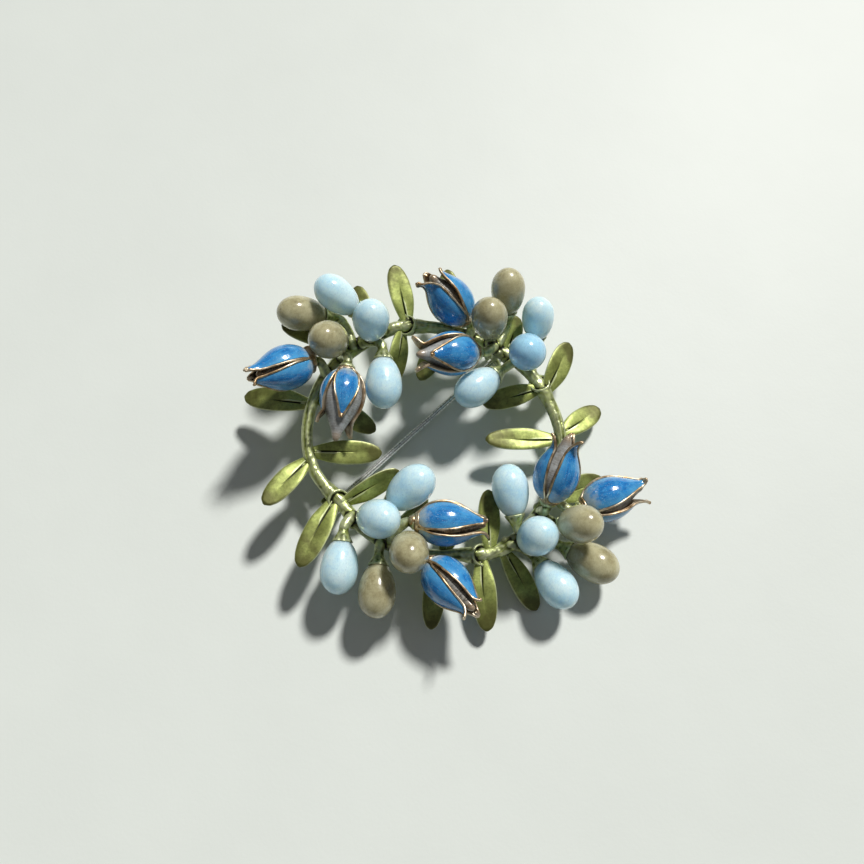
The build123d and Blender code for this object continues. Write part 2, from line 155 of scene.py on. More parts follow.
# for each bud, as shares: width and length of its core, size of its knob, how much of the core is glassy
BUD_LOOKS = [
    (1.05, 0.86, 1.00, 0.25),
    (0.97, 0.93, 1.00, 1.00),
    (1.00, 0.84, 1.35, 0.00),
    (1.04, 1.01, 1.00, 0.95),
    (1.00, 0.92, 1.10, 0.10),
    (1.00, 0.92, 1.15, 0.40),
    (1.00, 0.94, 1.00, 0.85),
    (1.00, 0.90, 1.00, 0.75),
]

# bud, turn of one petal about the bud's axis in degrees, then as shares: the petal's width, its reach,
# how far its tip flares, and where along it the flare starts
PETALS = [
    (1, 0, 1.09, 0.90, 0.50, 0.80), (1, 120, 1.05, 0.92, 0.50, 0.80), (1, 240, 0.93, 1.05, 1.12, 0.66),
    (2, -10, 0.98, 0.86, 0.70, 0.72), (2, 104, 1.00, 0.97, 0.84, 0.82), (2, 248, 0.95, 0.96, 0.74, 0.78),
    (3, 0, 1.04, 1.05, 0.34, 0.80), (3, 120, 1.00, 0.95, 0.40, 0.80), (3, 240, 1.04, 1.00, 0.46, 0.80),
    (4, -10, 0.70, 0.76, 0.66, 0.80), (4, 88, 0.90, 0.82, 0.92, 0.72), (4, 232, 0.90, 0.95, 0.78, 0.72),
    (5, 0, 0.86, 0.97, 0.42, 0.80), (5, 112, 1.00, 1.00, 0.54, 0.80), (5, 238, 1.00, 0.96, 0.55, 0.80),
    (6, 0, 1.00, 1.00, 0.66, 0.76), (6, 120, 1.00, 1.00, 0.50, 0.80), (6, 240, 0.96, 0.96, 0.52, 0.80),
    (7, 0, 0.95, 1.00, 0.86, 0.70), (7, 120, 0.97, 0.98, 0.60, 0.80), (7, 240, 0.97, 0.96, 0.70, 0.74),
    (8, -4, 0.95, 0.98, 0.50, 0.80), (8, 122, 1.00, 0.96, 0.80, 0.68), (8, 240, 1.00, 1.00, 0.50, 0.80),
]

# share of a bud's length, share of its radius: the outside of the petals, and the core between them
PETAL_PROFILE = [
    (0.03, 0.40), (0.12, 0.72), (0.26, 0.95), (0.38, 1.00), (0.52, 0.93),
    (0.66, 0.73), (0.77, 0.54), (0.84, 0.46), (0.89, 0.50), (0.93, 0.62),
]
CORE_PROFILE = [
    (0.03, 0.38), (0.12, 0.60), (0.26, 0.79), (0.38, 0.84), (0.52, 0.77),
    (0.66, 0.56), (0.78, 0.36), (0.88, 0.22), (0.94, 0.16), (0.975, 0.08),
]

# share of a bud's length, half the width of a petal as a share of the bud's radius
PETAL_OUTLINE = [
    (0.03, 0.30), (0.10, 0.60), (0.24, 0.80), (0.38, 0.84), (0.52, 0.75),
    (0.66, 0.55), (0.77, 0.37), (0.85, 0.25), (0.90, 0.17), (0.93, 0.10),
]

# the cup under a bead, from its foot to its rim and down its hollow: millimetres along, radius
CUP_PROFILE = [
    (-1.30, 0.60), (-0.95, 0.66), (-0.60, 0.80), (-0.25, 1.00), (0.05, 1.17), (0.30, 1.30), (0.45, 1.37),
    (0.54, 1.34), (0.53, 1.24), (0.35, 1.07), (0.10, 0.76), (0.00, 0.45),
]

# the knob at the foot of a bud, in the same way; its first part is cast with the stalk
CALYX_PROFILE = [
    (-0.65, 0.62), (-0.30, 0.95), (-0.12, 1.10), (0.02, 1.04), (0.10, 1.14), (0.25, 1.22), (0.48, 1.22),
    (0.64, 1.12), (0.78, 0.95),
]

# the open scoop at the end of a stem: millimetres along its own axis, share of half its width; then how dark
# each of those rings is, its tilt in degrees and its setback
SCOOP_PROFILE = [
    (-1.55, 0.40), (-1.35, 0.62), (-0.90, 0.82), (-0.40, 0.92), (0.05, 0.97), (0.34, 1.00), (0.50, 0.98),
    (0.55, 0.90), (0.46, 0.80), (-0.10, 0.74), (-0.60, 0.60), (-0.90, 0.30),
]
# the last four rings paint shade inside the scoop
SCOOP_TONE = [0.15] * 8 + [-0.4, -1.0, -1.0, -1.0]
SCOOP_LIFT = 62
SCOOP_SETBACK = 0.3

# a stem: its sections, its raised strand and the lumps where twigs branch off, in millimetres and degrees
STEM_SECTIONS = 64
STRAND_START = 5
STRAND_HEIGHT = 0.30
STRAND_OUTWARD = 0.52
KNUCKLE_LUMPS = 22
KNUCKLE_SPREAD = 26
LUMP_RADIUS = 0.46

# a leaf's sections, and as shares of its length where the slit and the fold have died out and how slowly
LEAF_SECTIONS = 44
SLIT_END = 0.62
SLIT_FADE = 0.28
FOLD_END = 0.82
FOLD_FADE = 0.4

# how far a leaf's halves fold up, how far its edges curl and how much thinner its tip is, as shares; then
# the height of the ledge beside the slit and the widths of the slit's steep and gentle sides, in millimetres
FOLD_RISE = 0.20
EDGE_CURL = 0.10
TIP_THINNING = 0.3
LEDGE_HEIGHT = 0.10
SLIT_STEEP = 0.08
SLIT_GENTLE = 0.09

# how far behind a cup or a bud its twig ends, in millimetres, and how much thicker the twig is at its root
CUP_BACK = 1.2
STALK_BACK = 0.7
TWIG_TAPER = 1.2

# how strongly a bend in the casting counts as a crevice
CREVICE_GAIN = 1.6

# the hook of the catch and its opening in degrees, then the hinge: its ears, the slot between them, the
# rivet's hole, and the block behind the slot, from its foot above the rivet to just under the stem's middle
CATCH_RADIUS = 1.22
CATCH_SPAN = (-35, 215)
CATCH_WIRE = 0.8
EAR_RADIUS = 1.1
EAR_SLOT = 1.0
EAR_THICKNESS = 0.55
EAR_BEVEL = 0.08
RIVET_HOLE = 0.4
BLOCK_HALF_LENGTH = 1.35
BLOCK_FOOT = 1.3
BLOCK_SINK = 0.45
HINGE_SIDES = 48

# where the pin lies in the flat layout: half its span, its distance from the centre, its depth and heading
PIN_REACH = 15.3
PIN_OFFSET = 3.4
PIN_DROP = 4.5
PIN_HEADING = math.radians(43.5)

# the finishes of a bud's faces, in the order that its mesh holds them
CORE, RIM, SHELL, KNOB = 0, 1, 2, 3

# where the metal of a petal starts, where it ends, and how much of its tip has a lip, as shares of the bud
SHELL_START = 0.035
SHELL_END = 0.925
PETAL_END = PETAL_OUTLINE[-1][0]
LIP_LENGTH = 0.035

# the grid of a petal's sheet, and how deep under the petal's outside it and the enamel's back lie
SHELL_SECTIONS = 34
SHELL_ACROSS = 13
SHELL_TOP = -0.15
GLAZE_BACK = -0.2
GLAZE_ACROSS = 23

# a rim's sections; how far in from the petal's edge its middle runs, as a share of its radius, and the
# enamel starts, as a share of its width; and how uneven it is, in millimetres
RIM_SECTIONS = 60
RIM_INSET = 0.8
RIM_WAVER = 0.012

# flutes along a bud's core, and the fine ribs that cross them
CORE_FLUTES = 24
CORE_RIBS = 34

# the row of the bead that is a stronger blue than the rest
VIVID_BEAD = 1

# the pale specks in the enamel
ENAMEL_SPECK = (0.42, 0.62, 0.78)

# the colour of the sun, the room's colours below and above, how high the upper one starts, and half the
# floor's width in metres
SUNLIGHT = (1.0, 0.975, 0.94)
ROOM_LOW = (0.42, 0.44, 0.46, 1)
ROOM_HIGH = (1.0, 1.0, 1.0, 1)
ROOM_HIGH_AT = 0.85
FLOOR_REACH = 0.9


def metres(name, default, description):
    """A length that the panel shows in the scene's own units."""
    return bpy.props.FloatProperty(
        name=name, description=description, default=default, unit="LENGTH", subtype="DISTANCE", precision=5
    )


def colour(name, default, description):
    """A colour swatch, in linear light."""
    return bpy.props.FloatVectorProperty(
        name=name, description=description, default=default, size=3, min=0, max=1, subtype="COLOR"
    )


def share(name, default, description):
    """A plain number from none to full."""
    return bpy.props.FloatProperty(name=name, description=description, default=default, min=0, soft_max=1)


class BROOCH_sprays_sizes(bpy.types.PropertyGroup):
    """Sizes of the cast sprays."""

    ring: metres("Ring radius", 0.0164, "From the ring's centre to the middle of the stems")
    stem: metres("Stem thickness", 0.00175, "Across one stem")
    strand: metres("Strand thickness", 0.0009, "Across the raised strand along the outside of a stem")
    collar: metres("Scoop width", 0.003, "Across the open scoop that holds the next stem's end")
    leaf_length: metres("Leaf length", 0.009, "Root to tip of a plain leaf")
    leaf_width: metres("Leaf width", 0.00325, "Across a plain leaf at its widest")
    leaf_thickness: metres("Leaf thickness", 0.00075, "Through the middle of a leaf")
    slit_depth: metres("Slit depth", 0.00027, "Depth of the slit along the lower half of a leaf")
    bead_step: metres("Bead step", 0.0053, "One bead and the space beside it")
    twig: metres("Twig thickness", 0.0013, "Across a twig at the foot of a cup")
    stalk: metres("Stalk thickness", 0.00125, "Across the stalk of a bud")
    grain: metres("Casting grain", 0.0001, "Size of the finest form that the casting keeps")
    roughness: metres("Casting roughness", 0.00005, "Height of the unevenness of the cast surface")


class BROOCH_bud_sizes(bpy.types.PropertyGroup):
    """Sizes of the enamelled buds."""

    step: metres("Bud step", 0.00545, "One bud and the space beside it")
    length: metres("Bud length", 0.0102, "Base to tip of the core")
    width: metres("Bud width", 0.0059, "Across the petals at their widest")
    wire: metres("Rim thickness", 0.00029, "Across the raised wire round a petal")
    sink: metres("Enamel depth", 0.00006, "How far the enamel's edge lies under the top of the rim")
    dome: metres("Enamel dome", 0.00012, "How far the enamel swells in the middle of a petal")
    shell: metres("Petal thickness", 0.0004, "Thickness of the metal under the enamel")


class BROOCH_finishes(bpy.types.PropertyGroup):
    """Colours of the brooch."""

    green_gold: colour("Green gold", (0.45, 0.52, 0.15), "Bright faces of the stems and leaves")
    leaf: colour("Leaf", (0.26, 0.305, 0.070), "Deeper faces of the leaves")
    moss: colour("Moss", (0.12, 0.15, 0.032), "Shaded faces of the stems")
    olive: colour("Olive", (0.075, 0.072, 0.012), "Darkened tips of the leaves")
    # partly rubbed wear, partly painted highlight on lit edges
    worn_and_painted_highlight: colour("Worn edges", (0.82, 0.87, 0.56), "Edges that are rubbed bright")
    # patina and painted shade in the hollows of the green metal
    crevice: colour("Crevice", (0.016, 0.016, 0.005), "Darkened hollows of the green metal")
    pale_blue: colour("Pale blue", (0.67, 0.88, 1.0), "Pale blue beads")
    deep_blue: colour("Bead shade", (0.47, 0.75, 0.97), "Deeper clouds in the pale blue beads")
    vivid_blue: colour("Vivid blue", (0.40, 0.71, 0.96), "The one bead of a stronger blue")
    taupe: colour("Taupe", (0.50, 0.475, 0.30), "Taupe beads")
    taupe_cloud: colour("Taupe cloud", (0.28, 0.25, 0.13), "Darker clouds in the taupe beads")
    enamel: colour("Enamel", (0.018, 0.24, 0.61), "Enamel in the middle of a petal")
    enamel_deep: colour("Deep enamel", (0.010, 0.13, 0.40), "Enamel where it is thickest")
    enamel_light: colour("Enamel edge", (0.10, 0.42, 0.74), "Enamel where it thins over the metal")
    enamel_base: colour("Enamel base", (0.42, 0.50, 0.52), "Greyish enamel at the foot of a petal")
    copper: colour("Copper gold", (0.60, 0.41, 0.22), "Rims of the petals")
    pale_gold: colour("Pale gold", (0.82, 0.73, 0.57), "Rubbed places on the rims")
    umber: colour("Umber", (0.085, 0.045, 0.020), "Darkened hollows of the rims")
    core: colour("Core", (0.095, 0.080, 0.055), "Ribbed core between the petals")
    core_light: colour("Core light", (0.34, 0.29, 0.19), "Paler patches on the core")
    lilac: colour("Lilac grey", (0.42, 0.45, 0.46), "Glassy patches near the tip of the core")
    steel: colour("Steel", (0.90, 0.92, 0.91), "Pin and rivet")


class BROOCH_stage_settings(bpy.types.PropertyGroup):
    """Camera, floor and light."""

    distance: metres("Camera distance", 0.11475, "From the camera to the point that it looks at")
    elevation: bpy.props.FloatProperty(
        name="Camera elevation", description="Height of the camera above the horizon",
        default=math.radians(72), subtype="ANGLE",
    )
    aim: bpy.props.FloatVectorProperty(
        name="Aim", description="Point that the camera looks at", default=(-0.0016, 0.0013, 0.00577),
        subtype="TRANSLATION",
    )
    lens: bpy.props.FloatProperty(name="Lens", description="Focal length in millimetres", default=35.42)
    sun: share("Sun", 3.6, "Strength of the key light")
    sun_spread: bpy.props.FloatProperty(
        name="Sun spread", description="Width of the key light, which softens the shadows",
        default=math.radians(8.0), subtype="ANGLE",
    )
    sun_way: bpy.props.FloatVectorProperty(
        name="Sun direction", description="Way that the key light travels", default=(-0.332, -0.563, -0.757),
        subtype="DIRECTION",
    )
    fill: share("Fill", 0.15, "Strength of the light from all round")
    floor: colour("Floor", (0.75, 0.80, 0.765), "Colour of the floor")


def settings():
    """The four groups of settings, by short names."""
    scene = bpy.context.scene
    return scene.brooch_sprays, scene.brooch_buds, scene.brooch_finishes, scene.brooch_stage


def eased(table, at):
    """A smooth curve through the first two columns of a table, read at values of the first."""
    x, y = np.array([row[:2] for row in table], float).T
    slope = np.gradient(y, x)
    at = np.clip(at, x[0], x[-1])
    i = np.clip(np.searchsorted(x, at, side="right") - 1, 0, len(x) - 2)
    width = x[i + 1] - x[i]
    t = (at - x[i]) / width
    flat = (2 * t**3 - 3 * t**2 + 1) * y[i] + (3 * t**2 - 2 * t**3) * y[i + 1]
    return flat + width * ((t**3 - 2 * t**2 + t) * slope[i] + (t**3 - t**2) * slope[i + 1])


def mottle(points, size, seed):
    """Smooth noise from -1 to 1 whose patches have a size."""
    spread = np.asarray(points, float) / size + seed * 7.31
    cell = np.floor(spread).astype(np.int64)
    part = spread - cell
    part = part * part * (3 - 2 * part)
    total = np.zeros(len(spread))
    for corner in range(8):
        step = np.array([corner & 1, corner >> 1 & 1, corner >> 2 & 1])
        x, y, z = (cell + step).T
        mixed = (x * 374761393 + y * 668265263 + z * 1274126177 + seed * 97) & 0x7FFFFFFF
        mixed = ((mixed ^ (mixed >> 13)) * 1103515245) & 0x7FFFFFFF
        value = ((mixed ^ (mixed >> 16)) & 0xFFFF) / 32767.5 - 1
        total += value * np.prod(np.where(step, part, 1 - part), axis=1)
    return total


def resting():
    """The move from the flat layout, in millimetres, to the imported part, in metres."""
    joint = next(j for j in frame["joints"] if j["name"] == "pin_hinge")
    across = Vector(joint["axis"]).normalized()
    along = across.cross(Vector((0, 0, 1))).normalized()
    turned = Matrix((along, across, along.cross(across))).transposed().to_4x4()
    to_pin = Matrix.Translation((PIN_REACH, -PIN_OFFSET, PIN_DROP)) @ Matrix.Rotation(-PIN_HEADING, 4, "Z")
    return Matrix.Translation(joint["pos_m"]) @ Matrix.Scale(MM, 4) @ turned @ to_pin


REST = resting()


def moved(place, points):
    """Points, or rings of points, carried by a 4 by 4 matrix."""
    matrix = np.array(place)
    points = np.asarray(points, float)
    return (points.reshape(-1, 3) @ matrix[:3, :3].T + matrix[:3, 3]).reshape(points.shape)


def around(sides):
    """Angles all round a circle."""
    return np.linspace(0, 2 * math.pi, sides, endpoint=False)


def loop_about_x(x, wide, high, angle):
    """An oval loop of points round the X axis."""
    return np.stack([np.full(len(angle), x), wide * np.cos(angle), high * np.sin(angle)], axis=1)


def aimed(point, heading, lift, roll=0.0):
    """A place at point whose X axis points along heading and lift, in degrees."""
    turn = Matrix.Rotation(math.radians(heading), 4, "Z") @ Matrix.Rotation(math.radians(-lift), 4, "Y")
    return Matrix.Translation(point) @ turn @ Matrix.Rotation(math.radians(roll), 4, "X")


def ring_points(bearings, height=0.0, outward=0.0):
    """Points on the centreline of the stems, or beside it."""
    bearings = np.atleast_1d(np.asarray(bearings, float))
    first = RING[0][0]
    reach = eased(RING, (bearings - first) % 360 + first) * settings()[0].ring / MM + outward
    angle = np.radians(bearings)
    return np.stack([reach * np.cos(angle), reach * np.sin(angle), np.full_like(angle, height)], axis=1)


def seat(hub, step, along, outward, up, turn, lift, spin=0.0):
    """The place of a bead or bud, counted in steps from the branching point of its stem."""
    angle = math.radians(hub)
    out = np.array([math.cos(angle), math.sin(angle), 0])
    side = np.array([-math.sin(angle), math.cos(angle), 0])
    point = ring_points(hub)[0] + step * (out * outward + side * along + np.array([0, 0, up]))
    return aimed(point, hub + turn, lift, spin)


class Clay:
    """Skins gathered into one mesh, in millimetres: two values for each point and a finish for each face."""

    def __init__(self):
        self.points = []
        self.faces = []
        self.values = []
        self.dips = []
        self.finishes = []

    def skin(self, rings, value=0.0, finish=0, capped=True, looped=False, dip=0.0):
        """Faces between rings of points. A value or dip may be one number, or one for each ring or point."""
        rings = np.asarray(rings, float)
        count, sides = rings.shape[:2]
        base = len(self.points)
        self.points.extend(rings.reshape(-1, 3).tolist())
        for held, given in ((self.values, value), (self.dips, dip)):
            given = np.asarray(given, float)
            if given.ndim == 1:
                given = given[:, None]
            held.extend(np.broadcast_to(given, (count, sides)).ravel().tolist())
        row = np.arange(count if looped else count - 1)[:, None] * sides
        near, far = np.arange(sides)[None, :], (np.arange(sides)[None, :] + 1) % sides
        after = (row + sides) % (count * sides)
        quads = np.stack([row + near, row + far, after + far, after + near], axis=-1).reshape(-1, 4) + base
        self.faces.extend(quads.tolist())
        self.finishes.extend([finish] * len(quads))
        if capped and not looped:
            for ring, turned in ((0, True), (count - 1, False)):
                centre = len(self.points)
                self.points.append(rings[ring].mean(axis=0).tolist())
                self.values.append(self.values[base + ring * sides])
                self.dips.append(self.dips[base + ring * sides])
                loop = [base + ring * sides + j for j in range(sides)]
                for a, b in zip(loop, loop[1:] + loop[:1]):
                    self.faces.append((b, a, centre) if turned else (a, b, centre))
                    self.finishes.append(finish)

    def tube(self, points, radii, sides=16, value=0.0, finish=0, shape=None, domed=False):
        """A round or shaped tube along points, whose sections don't twist."""
        points = np.asarray(points, float)
        radii = np.broadcast_to(radii, len(points)).astype(float)
        if domed:
            points, radii, value = domed_ends(points, radii, value)
        along = np.gradient(points, axis=0)
        along /= np.linalg.norm(along, axis=1)[:, None]
        normal = np.cross(along[0], [0.0, 0.0, 1.0])
        if np.linalg.norm(normal) < 0.1:
            normal = np.cross(along[0], [1.0, 0.0, 0.0])
        angle = around(sides)
        rings = []
        for i, point in enumerate(points):
            normal = normal - along[i] * (normal @ along[i])
            normal /= np.linalg.norm(normal)
            other = np.cross(along[i], normal)
            radius = radii[i] * (shape(i / (len(points) - 1), angle) if shape else np.ones(sides))
            spokes = np.cos(angle)[:, None] * normal + np.sin(angle)[:, None] * other
            rings.append(point + radius[:, None] * spokes)
        self.skin(rings, value, finish)

    def turned(self, place, profile, sides=24, value=0.0, finish=0, flutes=0, flute_depth=0.0):
        """A skin turned about X from x and radius, with flutes that deepen towards the widest place."""
        angle = around(sides)
        widest = max(radius for x, radius in profile)
        rings = []
        for x, radius in profile:
            reach = radius * (1 + flute_depth * (radius / widest) ** 2 * np.cos(flutes * angle))
            rings.append(loop_about_x(x, reach, reach, angle))
        self.skin(moved(place, rings), value, finish)

    def ball(self, centre, radius, finish=0, sides=12, value=0.0):
        """A small ball."""
        arc = np.linspace(0.12, math.pi - 0.12, sides)
        profile = [(-radius * math.cos(a), radius * math.sin(a)) for a in arc]
        self.turned(Matrix.Translation(centre), profile, sides * 2, value, finish)


def domed_ends(points, radii, value):
    """Rounds off both ends of a tube with a few shrinking rings."""
    steps = np.array([0.94, 0.75, 0.4])
    first = (points[0] - points[1]) / np.linalg.norm(points[0] - points[1])
    last = (points[-1] - points[-2]) / np.linalg.norm(points[-1] - points[-2])
    rise = np.sqrt(1 - steps**2)
    head = points[0] + first * (rise[::-1, None] * radii[0])
    tail = points[-1] + last * (rise[:, None] * radii[-1])
    value = np.broadcast_to(np.asarray(value, float), len(points))
    value = np.concatenate([np.full(3, value[0]), value, np.full(3, value[-1])])
    radii = np.concatenate([radii[0] * steps[::-1], radii, radii[-1] * steps])
    return np.vstack([head, points, tail]), radii, value


def shown(name, data):
    """An object of the scene that holds a mesh, a light or a camera."""
    piece = bpy.data.objects.new(name, data)
    bpy.context.scene.collection.objects.link(piece)
    return piece


def note(mesh, **values):
    """Keeps values for the points of a mesh, under the names that the finishes read."""
    for label, numbers in values.items():
        old = mesh.attributes.get(label)
        if old:
            mesh.attributes.remove(old)
        mesh.attributes.new(label, "FLOAT", "POINT").data.foreach_set("value", np.array(numbers, np.float32))


def mesh_of(name, clay, materials=()):
    """An object made of a clay, still in millimetres."""
    mesh = bpy.data.meshes.new(name)
    mesh.from_pydata(clay.points, [], clay.faces)
    for material in materials:
        mesh.materials.append(material)
    mesh.polygons.foreach_set("material_index", clay.finishes)
    mesh.polygons.foreach_set("use_smooth", [True] * len(mesh.polygons))
    shaped = bmesh.new()
    shaped.from_mesh(mesh)
    bmesh.ops.recalc_face_normals(shaped, faces=shaped.faces)
    shaped.to_mesh(mesh)
    shaped.free()
    note(mesh, blade=clay.values, hollow=clay.dips)
    return shown(name, mesh)


def placed(piece, slot, *nodes):
    """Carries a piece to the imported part's place, and says what it rides on and stands for."""
    piece.data.transform(REST)
    piece.data.update()
    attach(piece, BODY)
    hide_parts(*nodes)
    return piece


def columns(mesh):
    """A mesh's points, normals and edges as arrays."""
    points = np.zeros(len(mesh.vertices) * 3, np.float32)
    mesh.vertices.foreach_get("co", points)
    normals = np.zeros(len(mesh.vertices) * 3, np.float32)
    mesh.vertices.foreach_get("normal", normals)
    edges = np.zeros(len(mesh.edges) * 2, np.int32)
    mesh.edges.foreach_get("vertices", edges)
    return points.reshape(-1, 3).astype(float), normals.reshape(-1, 3).astype(float), edges.reshape(-1, 2)


def neighbour_mean(values, edges):
    """The mean of each point's neighbours."""
    count = np.bincount(edges.ravel(), minlength=len(values)).clip(1)
    total = np.zeros_like(values)
    np.add.at(total, edges[:, 0], values[edges[:, 1]])
    np.add.at(total, edges[:, 1], values[edges[:, 0]])
    return total / (count[:, None] if values.ndim > 1 else count)


def hollows(points, normals, edges, grain, rounds=6):
    """How deep each point lies in a crevice, up to 1, or how far it stands out on an edge, down to -1."""
    bend = ((neighbour_mean(points, edges) - points) * normals).sum(axis=1) / grain**2
    for _ in range(rounds):
        bend = neighbour_mean(bend, edges)
    return np.clip(bend * CREVICE_GAIN, -1, 1)


def cast_together(name, clay, grain, roughness, seed):
    """Fuses a clay's skins into one casting, rounds it as casting does and roughens it a little."""
    raw = mesh_of(name + "_raw", clay)
    fuse = raw.modifiers.new("Cast", "REMESH")
    fuse.mode = "VOXEL"
    fuse.voxel_size = grain
    polish = raw.modifiers.new("Polish", "SMOOTH")
    polish.factor = 0.5
    polish.iterations = 3
    mesh = bpy.data.meshes.new_from_object(raw.evaluated_get(bpy.context.evaluated_depsgraph_get()))
    drop(raw)
    points, normals, edges = columns(mesh)
    tree = kdtree.KDTree(len(clay.points))
    for i, point in enumerate(clay.points):
        tree.insert(point, i)
    tree.balance()
    values = np.array([clay.values[tree.find(point)[1]] for point in points])
    for _ in range(3):
        values = neighbour_mean(values, edges)
    rough = mottle(points, 0.9, seed) * 0.55 + mottle(points, 0.32, seed + 1) * 0.45
    points += normals * (rough * roughness)[:, None]
    mesh.vertices.foreach_set("co", points.astype(np.float32).ravel())
    mesh.polygons.foreach_set("use_smooth", [True] * len(mesh.polygons))
    note(mesh, blade=values, hollow=hollows(points, normals, edges, grain))
    return mesh


def drop(piece):
    """Removes a piece that was only a step on the way."""
    mesh = piece.data
    bpy.data.objects.remove(piece)
    bpy.data.meshes.remove(mesh)


def soldered(name, meshes, material):
    """One object made of several meshes, with the values of their points kept."""
    held = {}
    for label in ("blade", "hollow"):
        columns_of = [np.zeros(len(mesh.vertices), np.float32) for mesh in meshes]
        for mesh, column in zip(meshes, columns_of):
            mesh.attributes[label].data.foreach_get("value", column)
        held[label] = np.concatenate(columns_of)
    shaped = bmesh.new()
    for mesh in meshes:
        shaped.from_mesh(mesh)
    whole = bpy.data.meshes.new(name)
    shaped.to_mesh(whole)
    shaped.free()
    note(whole, **held)
    whole.materials.clear()
    whole.materials.append(material)
    whole.polygons.foreach_set("material_index", [0] * len(whole.polygons))
    return shown(name, whole)


def faded(at, end, over):
    """One for most of a length, then falling to none at its end."""
    return float(np.clip((end - at) / over, 0, 1))


def leaf_rings(length, width, thickness, droop, slit, sway):
    """A leaf's sections along X: folded near its stem, with a fine slit whose one side stands higher."""
    reach = 1 - (1 - np.linspace(0, 1, LEAF_SECTIONS)) ** 1.4
    half = eased(LEAF_OUTLINE, reach) * width / 2
    flank = np.sin(np.radians(np.linspace(12, 90, 14)))
    spread = np.concatenate([-flank[::-1], np.linspace(-0.17, 0.17, 13), flank])
    under = np.sin(np.radians(np.linspace(78, -78, 13)))
    bend = math.radians(droop) / length
    rings, dips = [], []
    for at, across in zip(reach, half):
        fade = faded(at, SLIT_END, SLIT_FADE)
        body = thickness / 2 * (1.0 - TIP_THINNING * at) * min(1, 0.3 + across)
        curl = EDGE_CURL * across * (at - 0.2)
        steep, gentle = SLIT_STEEP / across, (SLIT_GENTLE + 0.30 * max(0, 0.6 - at)) / across
        groove = np.where(spread < 0, 1 + spread / steep, 1 - spread / gentle).clip(0, 1)
        inner = np.maximum(0, 1 - np.abs(spread) / 0.8) ** 2
        ledge = LEDGE_HEIGHT * fade * np.clip(-spread / steep, 0, 1) * inner
        edge = np.sqrt(1 - np.abs(spread) ** 3)
        fold = FOLD_RISE * across * min(1, at * 3) * faded(at, FOLD_END, FOLD_FADE)
        top = curl * spread**2 + fold * np.abs(spread) + body * edge - slit * fade * groove + ledge
        low = curl * under**2 + fold * np.abs(under) - body * np.sqrt(1 - np.abs(under) ** 3)
        line = sway * math.sin(at * 4)
        y = (spread + line * (1 - spread**2)) * across
        flat = np.concatenate([np.stack([y, top], axis=1), np.stack([under * across, low], axis=1)])
        angle = bend * at * length
        x = math.sin(angle) / bend
        z = -(1 - math.cos(angle)) / bend
        y, rise = flat.T
        rings.append(np.stack([x + rise * math.sin(angle), y, z + rise * math.cos(angle)], axis=1))
        # bright leaf edges and the ledge beside the slit: partly wear, partly painted highlight
        worn_and_painted_highlight = 0.45 * np.clip((np.abs(spread) - 0.90) / 0.06, 0, 1) + 0.5 * (ledge > 0.06)
        # painted shade in the slit's groove
        dips.append(np.concatenate([0.6 * fade * groove - worn_and_painted_highlight, np.zeros(len(under))]))
    return np.array(rings), reach, np.array(dips)


def add_leaf_root(clay, place):
    """The swelling by which a leaf grows out of the stem."""
    reach = np.linspace(-0.2, 1.7, 9)
    width = [0.78, 0.78, 0.75, 0.70, 0.66, 0.62, 0.60, 0.58, 0.50]
    depth = [0.52, 0.52, 0.50, 0.46, 0.42, 0.38, 0.33, 0.27, 0.18]
    rings = [loop_about_x(at, wide, deep, around(18)) for at, wide, deep in zip(reach, width, depth)]
    clay.skin(moved(place, rings), 0.3)


def add_stem(clay, sizes, first, last):
    """A stem as two strands grown together, with a rounded start and the collar at its end."""
    bearings = np.linspace(first, last, STEM_SECTIONS)
    along = np.linspace(0, 1, STEM_SECTIONS)
    radius = eased(STEM_SWELL, along) * sizes.stem / MM / 2

    def ribbed(way, angle):
        return 1 + 0.05 * np.cos(2 * angle + 5 * way) + 0.025 * np.cos(5 * angle - 9 * way)

    # painted shade on the stem's rounded start, where it lies in the neighbouring stem's scoop
    start_painted_shade = np.where(along < 0.01, -0.5, 0.0)
    clay.tube(ring_points(bearings), radius * 0.97, 24, start_painted_shade, shape=ribbed, domed=True)
    raised = slice(STRAND_START, -1)
    ridge = ring_points(bearings[raised], height=STRAND_HEIGHT, outward=STRAND_OUTWARD)
    ridge[:, 2] += 0.12 * np.sin(along[raised] * 11)
    swell = 0.85 + 0.2 * np.sin(along[raised] * 7)
    clay.tube(ridge, sizes.strand / MM / 2 * swell, 12, 0.25, domed=True)
    ends = ring_points([last - 1.5, last])
    heading = math.degrees(math.atan2(*(ends[1] - ends[0])[1::-1]))
    rim = sizes.collar / MM / 2
    scoop = [(x, rim * part) for x, part in SCOOP_PROFILE]
    back = (ends[0] - ends[1]) / np.linalg.norm(ends[0] - ends[1]) * SCOOP_SETBACK
    clay.turned(aimed(ends[1] + back, heading, SCOOP_LIFT), scoop, 40, SCOOP_TONE)
    clay.tube(ring_points(np.linspace(last - 10, last - 5, 8)), np.linspace(0.9, 1.1, 8), 20, 0.1)


def bent(start, end, leaving, arriving, pull=0.4, count=14):
    """A curve from start to end that sets off and arrives along given directions."""
    reach = np.linalg.norm(end - start) * pull
    a, b = start + leaving * reach, end - arriving * reach
    t = np.linspace(0, 1, count)[:, None]
    return (1 - t) ** 3 * start + 3 * t * (1 - t) ** 2 * a + 3 * t**2 * (1 - t) * b + t**3 * end


def add_twig(clay, place, hub, lean, back, thickness, seed):
    """A knobbly twig from the stem to the foot of a cup or stalk."""
    foot = moved(place, [[-back, 0, 0]])[0]
    axis = np.array(place)[:3, 0]
    root, ahead = ring_points([hub + lean, hub + lean + 2])
    leaving = (ahead - root) / np.linalg.norm(ahead - root) * 0.2 + np.array([0, 0, 0.6])
    points = bent(root, foot, leaving / np.linalg.norm(leaving), axis, 0.35)
    radii = np.linspace(thickness * TWIG_TAPER, thickness, len(points)) / 2
    knobs = mottle(points, 0.8, seed) * 0.09
    clay.tube(points, radii * (1 + knobs), 14, 0.05, domed=True)


